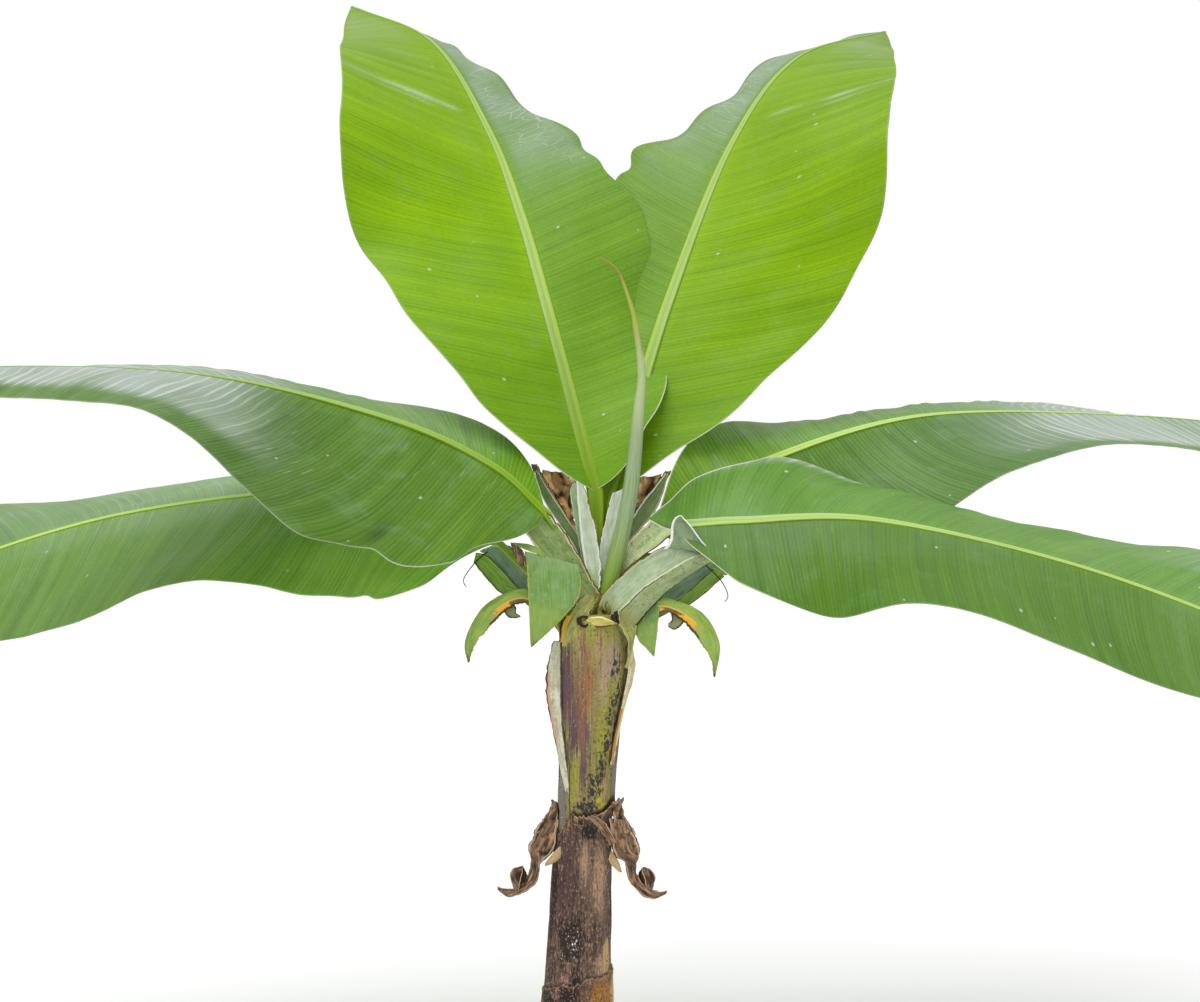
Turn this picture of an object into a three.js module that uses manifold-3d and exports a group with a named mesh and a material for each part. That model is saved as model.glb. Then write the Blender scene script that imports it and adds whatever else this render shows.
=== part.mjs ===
// Young dwarf banana plant, rooted in the ground: a leaning stem of wrapped leaf sheaths, six large leaves,
// a rolled new leaf, and the cut stubs and dry remnants of the leaves before them.
// Millimetres, +Z up, the front of the plant towards -Y, the origin at the middle of the cut under the stem.
import * as THREE from "three";
import { mergeVertices } from "three/addons/utils/BufferGeometryUtils.js";
import Module from "manifold-3d";

const wasm = await Module();
wasm.setup();

const GAP = 0.6; // clearance between neighbouring parts
const BLADE_THICK = 5;
const BLADE_ROWS = 9; // rows of facets along half of a leaf
const BLADE_COLUMNS = 3; // facets from the rib to the margin
const BLADE_SPLIT = 0.46; // where a leaf is parted into its inner and its outer half
const RIB_DEPTH = [24, 19, 14, 8, 3]; // depth of the rib under the blade, from base to tip
const SWEEP = [0, 0.1, 0.25, 0.4]; // lean of the side veins towards the tip
const BARE_WIDTH = 20; // least half width of a blade at its two ends
const STEM_SIDES = 20;
const STALK_SIDES = 8;
const STRIP_ROWS = 6;

const GREEN = "#6f9a35";
const FRESH = "#86ad2c";
const PALE = "#a9bb8f";
const DRY = "#7a6245";
const PAPER = "#bfba9f";

// The stem: height, radius, lean to the right.
const STEM = [
  [0, 82, 0],
  [45, 76, 1],
  [234, 69, 5],
  [434, 60, 12],
  [585, 54, 18],
  [612, 53, 19],
  [634, 58, 21],
  [724, 60, 25],
  [794, 63, 29],
  [858, 66, 34],
  [954, 69, 37],
  [990, 69, 38],
  [1008, 58, 39],
];

// The leaves: the rib from base to tip, and for each half its width, where it is widest, how full its base and
// tip are, how it lifts from the level and how it curls, both in degrees from base to tip.
const LEAVES = [
  {
    name: "leaf_left_upper",
    color: FRESH,
    facing: 110,
    rib: [[40, 50, 1254], [-60, 168, 1631], [-116, 254, 1830], [-191, 360, 2031], [-321, 499, 2250], [-519, 660, 2367]],
    left: { width: 360, peak: 0.48, base: 0.71, tip: 0.92, blunt: 1.62,
      lift: [14, 17, -2, 15, 4, -16], curl: [2, -18, -8, -24] },
    right: { width: 264, peak: 0.42, base: 0.47, tip: 0.92, blunt: 1.39,
      lift: [49, 3, 21, 3, -13, -8], curl: [18, -28, -35, -13] },
    stalk: [[34, 26, 1010], [38, 34, 1130], [40, 50, 1254]],
    girth: [20, 19, 17],
  },
  {
    name: "leaf_right_upper",
    color: FRESH,
    facing: 74,
    rib: [[74, 70, 1234], [113, 121, 1388], [194, 235, 1651], [333, 381, 2001], [487, 518, 2218], [706, 680, 2314]],
    left: { width: 219, peak: 0.39, base: 0.5, tip: 0.89, blunt: 1.99,
      lift: [-25, -13, 3, -6, -11, 1], curl: [-3, 22, -34, -3] },
    right: { width: 388, peak: 0.48, base: 1.09, tip: 0.91, blunt: 1.64,
      lift: [4, -5, -1, 18, 7, -16], curl: [-6, -12, -11, -23] },
    stalk: [[66, 34, 1010], [68, 52, 1120], [74, 70, 1234]],
    girth: [20, 19, 17],
  },
  {
    name: "leaf_left_high",
    color: GREEN,
    facing: 196,
    rib: [[-57, -25, 1208], [-163, -69, 1312], [-362, -142, 1409], [-711, -275, 1475], [-1123, -426, 1473],
      [-1326, -480, 1427]],
    left: { width: 338, peak: 0.26, base: 0.53, tip: 0.86, blunt: 2.24,
      lift: [-53, -61, -43, -7, -7, -20], curl: [-10, 11, -26, -18] },
    right: { width: 325, peak: 0.32, base: 0.85, tip: 0.85, blunt: 2.2,
      lift: [50, 20, 16, 9, -5, -20], curl: [3, -20, -11, -21] },
    stalk: [[14, -8, 1010], [2, -14, 1110], [-57, -25, 1208]],
    girth: [21, 20, 18],
  },
  {
    name: "leaf_left_low",
    color: GREEN,
    facing: 172,
    rib: [[-91, 20, 1089], [-213, 48, 1189], [-434, 73, 1257], [-939, 123, 1204], [-1365, 130, 1066],
      [-1613, 120, 916]],
    left: { width: 288, peak: 0.39, base: 0.46, tip: 0.85, blunt: 2.2,
      lift: [-44, -54, -31, -43, -51, -59], curl: [-4, -9, -11, -21] },
    right: { width: 290, peak: 0.43, base: 0.5, tip: 0.84, blunt: 2.29,
      lift: [24, 23, 18, 22, 43, 32], curl: [2, -14, -10, -17] },
    stalk: [[-38, 12, 960], [-60, 14, 1030], [-91, 20, 1089]],
    girth: [18, 19, 18],
  },
  {
    name: "leaf_right_high",
    color: GREEN,
    facing: 16,
    rib: [[161, 30, 1190], [338, 94, 1294], [717, 219, 1410], [1225, 375, 1416], [1563, 454, 1381], [1758, 490, 1323]],
    left: { width: 266, peak: 0.4, base: 1.17, tip: 0.85, blunt: 2.17,
      lift: [84, 29, 19, 10, -5, -20], curl: [14, -35, 0, -24] },
    right: { width: 272, peak: 0.32, base: 0.5, tip: 0.85, blunt: 2.09,
      lift: [-84, -79, -40, -24, -29, -29], curl: [-4, 26, 2, -22] },
    stalk: [[82, 6, 1006], [100, 14, 1110], [161, 30, 1190]],
    girth: [19, 20, 18],
  },
  {
    name: "leaf_right_low",
    color: GREEN,
    facing: -22,
    rib: [[228, -40, 1171], [329, -69, 1192], [581, -157, 1196], [942, -297, 1111], [1260, -407, 985],
      [1436, -450, 865]],
    left: { width: 244, peak: 0.31, base: 0.76, tip: 0.82, blunt: 2.44,
      lift: [80, 37, 30, 23, 41, 14], curl: [16, -46, -9, -13] },
    right: { width: 249, peak: 0.4, base: 0.64, tip: 0.89, blunt: 2.17,
      lift: [-58, -56, -24, -27, -46, -50], curl: [-7, -12, -16, -22] },
    stalk: [[66, -40, 1012], [140, -46, 1100], [228, -40, 1171]],
    girth: [22, 28, 24],
  },
];

// The rolled new leaf, thickest above its base.
const SPEAR = {
  path: [[58, -6, 1012], [76, -4, 1100], [106, 4, 1250], [128, 14, 1440], [132, 18, 1490], [122, 18, 1580],
    [104, 18, 1650], [82, 18, 1698], [46, 18, 1724]],
  radius: [15, 16, 15, 14, 13, 10, 7, 4, 2],
};

// Cut stubs, torn sheaths and dry remnants: each a strip along its path, with its half width, the way its face
// looks (a direction) and how far it is cupped, in degrees.
const STRIPS = [
  { name: "sheath_pale_left", color: PALE, thick: 4, cup: 40, face: [0, -1, 0.1],
    path: [[14, -2, 1013], [16, 10, 1110], [6, 16, 1200], [2, 22, 1272]], half: [12, 20, 20, 6] },
  { name: "sheath_pale_right", color: PALE, thick: 4, cup: 40, face: [0, -1, 0.1],
    path: [[64, 12, 1013], [70, 18, 1110], [84, 30, 1200], [92, 34, 1262]], half: [12, 16, 18, 6] },
  { name: "stub_channel_left", color: GREEN, thick: 7, cup: 70, face: [0.2, -1, 0.3],
    path: [[6, 34, 1011], [4, 40, 1110], [-34, 54, 1200], [-82, 64, 1284]], half: [14, 20, 20, 12] },
  { name: "stub_channel_right", color: GREEN, thick: 7, cup: 70, face: [-0.2, -1, 0.3],
    path: [[86, 32, 1006], [104, 44, 1130], [142, 56, 1210], [184, 62, 1284]], half: [14, 18, 20, 12] },
  { name: "dry_remnant_left", color: DRY, thick: 6, cup: 50, face: [0.3, -1, 0.1],
    path: [[14, 52, 1006], [-6, 76, 1120], [-26, 92, 1220], [-38, 104, 1296]], half: [12, 18, 30, 18] },
  { name: "dry_remnant_right", color: DRY, thick: 6, cup: 50, face: [-0.3, -1, 0.1],
    path: [[72, 56, 1006], [108, 78, 1110], [142, 94, 1200], [158, 106, 1284]], half: [12, 18, 30, 18] },
  { name: "remnant_blade_left", color: GREEN, thick: 4, cup: -20, face: [-0.2, -1, 0.1],
    path: [[-34, -58, 1132], [-46, -74, 1070], [-62, -82, 1010], [-86, -84, 948]], half: [52, 44, 26, 2.5] },
  { name: "remnant_blade_right", color: GREEN, thick: 4, cup: -20, face: [0.3, -1, 0.1],
    path: [[140, -34, 1056], [146, -44, 1010], [154, -50, 970], [162, -52, 926]], half: [22, 18, 11, 2.5] },
  { name: "hook_left", color: "#899c56", thick: 5, cup: -50, face: [0, -1, 0.7],
    path: [[-36, -36, 1000], [-96, -50, 1050], [-158, -56, 1036], [-198, -58, 984], [-214, -58, 914]],
    half: [12, 21, 22, 15, 2.5] },
  { name: "hook_right", color: "#899c56", thick: 5, cup: -50, face: [0, -1, 0.7],
    path: [[110, -28, 1000], [170, -36, 1050], [232, -42, 1024], [268, -44, 962], [282, -44, 888]],
    half: [12, 20, 22, 15, 2.5] },
  { name: "stub_flat_left", color: "#5f7f4a", thick: 6, cup: 30, face: [0, -1, -0.2],
    path: [[-40, 40, 990], [-108, 46, 1046], [-196, 44, 1108]], half: [18, 30, 34] },
  { name: "stub_flat_right", color: "#5f7f4a", thick: 6, cup: 30, face: [0, -1, -0.2],
    path: [[112, 34, 990], [196, 24, 1044], [286, 16, 1092]], half: [16, 26, 26] },
  { name: "stub_back_left", color: GREEN, thick: 8, cup: 90, face: [0.3, -0.6, 1],
    path: [[8, 66, 975], [-20, 106, 1050], [-44, 146, 1140]], half: [20, 26, 22] },
  { name: "stub_back_right", color: GREEN, thick: 8, cup: 90, face: [-0.3, -0.6, 1],
    path: [[62, 68, 975], [90, 112, 1046], [124, 150, 1120]], half: [20, 26, 22] },
  { name: "paper_sheath_left", color: PAPER, thick: 4, cup: -60, face: [-1, -0.5, 0],
    path: [[-38, -22, 742], [-42, -24, 830], [-46, -26, 900], [-40, -24, 948]], half: [22, 30, 28, 12] },
  { name: "paper_sheath_right", color: PAPER, thick: 4, cup: -60, face: [1, -0.5, 0],
    path: [[94, -22, 692], [106, -26, 800], [114, -28, 880], [108, -26, 948]], half: [18, 30, 28, 12] },
  { name: "dry_curl_left", color: DRY, thick: 5, cup: 60, face: [-0.5, -1, 0],
    path: [[-40, -12, 632], [-82, -20, 606], [-112, -26, 560], [-104, -30, 502], [-134, -32, 460], [-172, -34, 470]],
    half: [14, 18, 15, 14, 10, 4] },
  { name: "dry_curl_right", color: DRY, thick: 5, cup: 60, face: [0.5, -1, 0],
    path: [[82, -12, 632], [112, -18, 600], [140, -24, 552], [142, -28, 500], [168, -32, 462], [202, -34, 466]],
    half: [14, 18, 15, 14, 10, 4] },
];

const vec = (p) => new THREE.Vector3(...p);
const rad = THREE.MathUtils.degToRad;

// A smooth course through points or plain values, at t from 0 to 1.
const routes = new Map();
function route(points) {
  if (!routes.has(points)) routes.set(points, new THREE.CatmullRomCurve3(points.map(vec), false, "catmullrom", 0.5));
  return routes.get(points);
}
function keyed(values, t) {
  const last = values.length - 1;
  const x = THREE.MathUtils.clamp(t, 0, 1) * last;
  const i = Math.min(Math.floor(x), last - 1);
  const w = x - i;
  const before = i > 0 ? values[i - 1] : 2 * values[0] - values[1];
  const after = i + 2 <= last ? values[i + 2] : 2 * values[last] - values[last - 1];
  const [a, b] = [values[i], values[i + 1]];
  const [ta, tb] = [(b - before) / 2, (after - a) / 2];
  return (2 * a - 2 * b + ta + tb) * w ** 3 + (3 * b - 3 * a - 2 * ta - tb) * w ** 2 + ta * w + a;
}

// A closed body through rings of points, each ring going out along one face and back along the other; both ends
// are capped across from face to face.
function loft(rings) {
  const n = rings[0].length;
  const points = rings.flat();
  const faces = [];
  for (let i = 0; i + 1 < rings.length; i++)
    for (let j = 0; j < n; j++) {
      const [a, b] = [i * n + j, i * n + ((j + 1) % n)];
      faces.push(a, b, b + n, a, b + n, a + n);
    }
  const last = (rings.length - 1) * n;
  for (let k = 0; k + 1 < n / 2; k++) {
    const [a, b, c, d] = [k, k + 1, n - 2 - k, n - 1 - k];
    faces.push(a, c, b, a, d, c);
    faces.push(last + a, last + b, last + c, last + a, last + c, last + d);
  }
  return solid(points, faces);
}

function solid(points, faces) {
  const volume = faces.reduce((sum, _, k) => k % 3 ? sum
    : sum + points[faces[k]].dot(new THREE.Vector3().crossVectors(points[faces[k + 1]], points[faces[k + 2]])), 0);
  const turned = volume > 0 ? faces : faces.map((_, k) => faces[k - (k % 3) + 2 - (k % 3)]);
  const geometry = new THREE.BufferGeometry().setFromPoints(points).setIndex(turned);
  const merged = mergeVertices(geometry, 1e-3);
  return new wasm.Manifold(new wasm.Mesh({
    numProp: 3,
    vertProperties: merged.attributes.position.array,
    triVerts: new Uint32Array(merged.index.array),
  }));
}

function stem(grow) {
  const rings = STEM.map(([z, radius, lean]) =>
    Array.from({ length: STEM_SIDES }, (_, k) => {
      const a = (2 * Math.PI * k) / STEM_SIDES;
      return new THREE.Vector3(lean + (radius + grow) * Math.cos(a), (radius + grow) * Math.sin(a), z);
    }));
  rings.at(-1).forEach((p) => (p.z += grow));
  return loft(rings);
}

// How much of its full width a leaf half has at t.
function share({ peak, base, tip, blunt }, t) {
  if (t < peak) return (1 - (1 - t / peak) ** 2) ** base;
  return Math.max(0, 1 - ((t - peak) / (1 - peak)) ** blunt) ** tip;
}

function blade(leaf, from, to, grow) {
  const curve = route(leaf.rib);
  const a = rad(leaf.facing);
  const level = new THREE.Vector3(Math.sin(a), -Math.cos(a), 0);
  const rings = [];
  for (let i = 0; i <= BLADE_ROWS; i++) {
    const t = from + ((to - from) * i) / BLADE_ROWS;
    const along = curve.getTangentAt(t);
    const spot = curve.getPointAt(t);
    if (i === 0) spot.addScaledVector(along, -grow);
    if (i === BLADE_ROWS) spot.addScaledVector(along, grow);
    const side = level.clone().addScaledVector(along, -level.dot(along)).normalize();
    const up = new THREE.Vector3().crossVectors(side, along);
    const sweep = keyed(SWEEP, t);
    const top = [];
    const bottom = [];
    for (let j = -BLADE_COLUMNS; j <= BLADE_COLUMNS; j++) {
      const half = j < 0 ? leaf.left : leaf.right;
      const sign = Math.sign(j);
      const v = Math.abs(j) / BLADE_COLUMNS;
      const width = (Math.max(BARE_WIDTH, half.width * share(half, t)) + grow) * v;
      const lift = rad(keyed(half.lift, t));
      const curl = rad(keyed(half.curl, t));
      const bend = lift + (curl * v) / 2;
      const point = spot.clone()
        .addScaledVector(side, sign * width * Math.cos(bend))
        .addScaledVector(up, width * Math.sin(bend))
        .addScaledVector(along, sweep * width * v);
      const turn = sign ? sign * (lift + curl * v) : rad(keyed(leaf.right.lift, t) - keyed(leaf.left.lift, t)) / 2;
      const out = up.clone().multiplyScalar(Math.cos(turn)).addScaledVector(side, -Math.sin(turn));
      const under = sign ? 0 : keyed(RIB_DEPTH, t);
      top.push(point.clone().addScaledVector(out, BLADE_THICK / 2 + grow));
      bottom.unshift(point.clone().addScaledVector(out, -BLADE_THICK / 2 - under - grow));
    }
    rings.push([...top, ...bottom]);
  }
  return loft(rings);
}

function stalk(path, radii, rows, grow) {
  const curve = route(path);
  const level = new THREE.Vector3(0, 1, 0);
  const rings = [];
  for (let i = 0; i <= rows; i++) {
    const t = i / rows;
    const along = curve.getTangentAt(t);
    const spot = curve.getPointAt(t);
    if (i === 0) spot.addScaledVector(along, -grow);
    if (i === rows) spot.addScaledVector(along, grow);
    const side = new THREE.Vector3().crossVectors(along, level).normalize();
    const up = new THREE.Vector3().crossVectors(side, along);
    const radius = keyed(radii, t) + grow;
    rings.push(Array.from({ length: STALK_SIDES }, (_, k) => {
      const a = (2 * Math.PI * k) / STALK_SIDES;
      return spot.clone().addScaledVector(side, radius * Math.cos(a)).addScaledVector(up, radius * Math.sin(a));
    }));
  }
  return loft(rings);
}

function strip({ path, half, face, cup, thick }, grow) {
  const curve = route(path);
  const rings = [];
  for (let i = 0; i <= STRIP_ROWS; i++) {
    const t = i / STRIP_ROWS;
    const along = curve.getTangentAt(t);
    const spot = curve.getPointAt(t);
    if (i === 0) spot.addScaledVector(along, -grow);
    if (i === STRIP_ROWS) spot.addScaledVector(along, grow);
    const out = vec(face).addScaledVector(along, -vec(face).dot(along)).normalize();
    const side = new THREE.Vector3().crossVectors(along, out);
    const width = keyed(half, t) + grow;
    const top = [];
    const bottom = [];
    for (const v of [-1, -0.5, 0, 0.5, 1]) {
      const bend = (rad(cup) * v) / 2;
      const point = spot.clone()
        .addScaledVector(side, width * v * Math.cos(bend))
        .addScaledVector(out, width * v * Math.sin(bend));
      const normal = out.clone().multiplyScalar(Math.cos(2 * bend)).addScaledVector(side, -Math.sin(2 * bend));
      top.push(point.clone().addScaledVector(normal, thick / 2 + grow));
      bottom.unshift(point.clone().addScaledVector(normal, -thick / 2 - grow));
    }
    rings.push([...top, ...bottom]);
  }
  return loft(rings);
}

// Every part with the way it is made; each later one is trimmed where it meets the ones before it.
const parts = [["pseudostem", "#806558", (grow) => stem(grow)]];
for (const leaf of LEAVES) {
  const parting = GAP / route(leaf.rib).getLength();
  parts.push([`${leaf.name}_inner`, leaf.color, (grow) => blade(leaf, 0, BLADE_SPLIT, grow)]);
  parts.push([`${leaf.name}_outer`, leaf.color, (grow) => blade(leaf, BLADE_SPLIT + parting, 1, grow)]);
}
parts.push(["spear", PALE, (grow) => stalk(SPEAR.path, SPEAR.radius, 14, grow)]);
for (const leaf of LEAVES)
  parts.push([leaf.name.replace("leaf", "stalk"), leaf.color, (grow) => stalk(leaf.stalk, leaf.girth, 5, grow)]);
for (const piece of STRIPS) parts.push([piece.name, piece.color, (grow) => strip(piece, grow)]);

const plant = new THREE.Group();
const fences = [];
for (const [name, color, make] of parts) {
  const whole = make(0);
  const size = whole.boundingBox();
  const near = fences.filter(({ box }) => [0, 1, 2].every((k) => box.min[k] < size.max[k] && size.min[k] < box.max[k]));
  const bodies = near.reduce((left, { fence }) => left.subtract(fence), whole).decompose();
  const body = bodies.reduce((most, b) => (b.volume() > most.volume() ? b : most));
  const fence = make(GAP);
  fences.push({ fence, box: fence.boundingBox() });
  const mesh = body.getMesh();
  const geometry = new THREE.BufferGeometry();
  geometry.setAttribute("position", new THREE.BufferAttribute(new Float32Array(mesh.vertProperties), 3));
  geometry.setIndex(new THREE.BufferAttribute(new Uint32Array(mesh.triVerts), 1));
  const shown = geometry.toNonIndexed();
  shown.computeVertexNormals();
  const node = new THREE.Mesh(shown, new THREE.MeshStandardMaterial({ color, roughness: 0.6 }));
  node.name = name;
  plant.add(node);
}

export default plant;
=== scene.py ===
"""Young dwarf banana plant: a sheathed stem, six large leaves, a rolled new leaf, cut stubs and dry remnants."""
import math

import bpy
import numpy as np
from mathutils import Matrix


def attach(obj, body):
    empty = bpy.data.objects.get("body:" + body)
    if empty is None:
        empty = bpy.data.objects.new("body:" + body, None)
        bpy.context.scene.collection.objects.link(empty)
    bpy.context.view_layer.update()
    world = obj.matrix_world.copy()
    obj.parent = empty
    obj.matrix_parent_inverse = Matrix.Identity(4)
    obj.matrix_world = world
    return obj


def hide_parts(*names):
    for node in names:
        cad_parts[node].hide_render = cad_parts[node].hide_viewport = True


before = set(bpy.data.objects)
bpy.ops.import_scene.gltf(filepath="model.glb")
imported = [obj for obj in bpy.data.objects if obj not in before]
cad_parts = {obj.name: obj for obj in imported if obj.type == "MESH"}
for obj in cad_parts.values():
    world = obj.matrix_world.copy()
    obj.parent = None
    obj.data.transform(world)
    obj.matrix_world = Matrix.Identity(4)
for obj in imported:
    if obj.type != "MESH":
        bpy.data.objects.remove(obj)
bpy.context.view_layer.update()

bl_info = {
    "name": "Banana Plant",
    "version": (1, 0, 0),
    "blender": (4, 5, 0),
    "location": "View3D > Sidebar > Banana Plant",
    "description": "Models a young dwarf banana plant on its packed frame",
    "category": "Add Mesh",
}

MM = 0.001
# A wave texture of scale 1 has a line every pi / 10 m.
WAVE_STEP = math.pi / 10

# How many faces each grid has across and along.
STEM_GRID = (220, 430)
RIM_GRID = (240, 24)
RIB_GRID = (28, 190)
NEW_LEAF_GRID = (40, 200)
THREAD_GRID = (8, 40)
# Faces across a blade, and mm along it for each row of faces.
BLADE_FACES, BLADE_ROW = 60, 6
# The same for a sheet, and the fewest rows it may have.
SHEET_FACES, SHEET_ROW, SHEET_FEWEST = 24, 3, 28
# How many close points a course is drawn through.
COURSE_POINTS = 401

# The stage, in m, with the camera's lens and sensor in mm.
FLOOR_SIZE = 160
CAMERA_SPOT = (0.05, -4.5, 1.232)
CAMERA_LENS, CAMERA_SENSOR = 67.5, 36


def colour(code):
    """An sRGB hex colour as linear values with full cover."""
    parts = [int(code[i:i + 2], 16) / 255 for i in (1, 3, 5)]
    return (*[c / 12.92 if c <= 0.04045 else ((c + 0.055) / 1.055) ** 2.4 for c in parts], 1.0)


# ---------------------------------------------------------------- sizes, in mm

# The least width of a blade's half, the thickness of a sheet that gives none of its own, and how close corners
# have to be to be joined.
LEAST_WIDTH = 4.0
SHEET_THICKNESS = 1.6
SEAM_GAP = 0.02
# A thread's radius at its start, and how much thinner it is at its end.
THREAD_RADIUS, THREAD_TAPER = 1.3, 0.5
# How tall the cuff of the dead sheath is at most, and how far it stands out there.
CUFF_HEIGHT, CUFF_FLARE = 44, 6
# A short tear on the dead foot: degrees from the front, height, and half widths of both.
SHORT_TEAR = (16, 357, 10, 2)

# The stem: height, radius, lean to the right.
STEM = [
    (0, 82, 0), (45, 76, 1), (234, 69, 5), (434, 60, 12), (585, 54, 18), (612, 53, 19), (634, 58, 21),
    (724, 60, 25), (794, 63, 29), (858, 66, 34), (954, 69, 37), (990, 69, 38), (1008, 58, 39),
]
# The outermost living sheath: height, then its left and right edge in degrees round the stem from the front.
FRONT_SHEATH = [(560, -30, 50), (712, -33, 55), (745, -38, 62), (824, -65, 80), (954, -80, 86), (1008, -84, 88)]
# The torn rim of the dead sheath below it: degrees round the stem, height, and how far it stands out.
DEAD_RIM = [(-180, 612, 4), (-125, 622, 6), (-104, 634, 16), (-92, 600, 8), (-76, 570, 0), (-58, 574, 0),
            (-38, 596, 2), (-22, 611, 3), (0, 609, 2.4), (22, 609, 3), (38, 618, 6), (52, 636, 12), (78, 640, 20),
            (104, 626, 8), (180, 612, 4)]
# The rim of an older sheath near the foot.
OLD_RIM = [(-180, 240), (-90, 262), (-30, 272), (20, 286), (60, 296), (120, 300), (180, 240)]

# Patches on the stem: degrees from the front, height, half widths of both, and any lean in degrees per mm.
PATCHES = {
    "leafy": [(10, 975, 60, 40), (26, 760, 17, 130), (-24, 700, 14, 84), (46, 880, 14, 60), (150, 800, 40, 150),
              (-140, 700, 36, 90)],
    "cream": [(12, 935, 14, 50), (-22, 945, 12, 44), (36, 664, 9, 40), (190, 930, 30, 60)],
    "mauve": [(36, 915, 22, 50), (20, 880, 10, 60)],
    "ember": [(-8, 858, 18, 90, 0.03), (205, 880, 20, 90)],
    "purple": [(-48, 868, 26, 100), (-26, 800, 14, 80, 0.03), (-10, 770, 14, 60), (-8, 720, 9, 60),
               (128, 880, 24, 90), (-120, 880, 22, 80)],
    "ash": [(-66, 680, 32, 116), (80, 680, 24, 84), (-150, 860, 30, 110), (118, 660, 20, 60)],
    "gold": [(70, 782, 9, 78, 0.2), (84, 900, 6, 60)],
    "soot": [(2, 626, 30, 34), (14, 668, 19, 36, 0.1), (28, 700, 13, 38, 0.1), (36, 745, 13, 44, 0.1),
             (48, 842, 16, 64, 0.3), (54, 785, 13, 50, 0.2), (42, 905, 13, 32, 0.3), (170, 660, 24, 40),
             (-84, 620, 14, 20), (-78, 700, 12, 60)],
    "tan": [(38, 480, 24, 90), (4, 520, 12, 60), (44, 312, 20, 34), (72, 255, 14, 34), (-140, 430, 24, 110),
            (150, 330, 22, 120)],
    "scorch": [(12, 576, 20, 19), (-14, 256, 20, 26), (-18, 364, 34, 50), (-55, 230, 30, 44), (-70, 480, 20, 160),
               (88, 430, 10, 140), (140, 520, 26, 60), (-150, 250, 30, 60), (0, 60, 180, 60), (-4, 290, 12, 20)],
    "rosy": [(-20, 286, 30, 20), (-44, 258, 24, 22), (-20, 228, 12, 22)],
    "wine": [(-34, 480, 34, 130), (0, 262, 16, 30), (60, 350, 14, 40)],
    "rust": [(50, 244, 36, 44), (-60, 120, 60, 40), (70, 150, 50, 30)],
    "pith": [(78, 262, 14, 50), (58, 330, 12, 40)],
    "lichen": [(38, 626, 10, 10), (26, 640, 7, 7), (32, 604, 7, 6), (14, 570, 5, 6)],
    "chalk": [(-12, 356, 26, 44), (-30, 330, 14, 30)],
}

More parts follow.
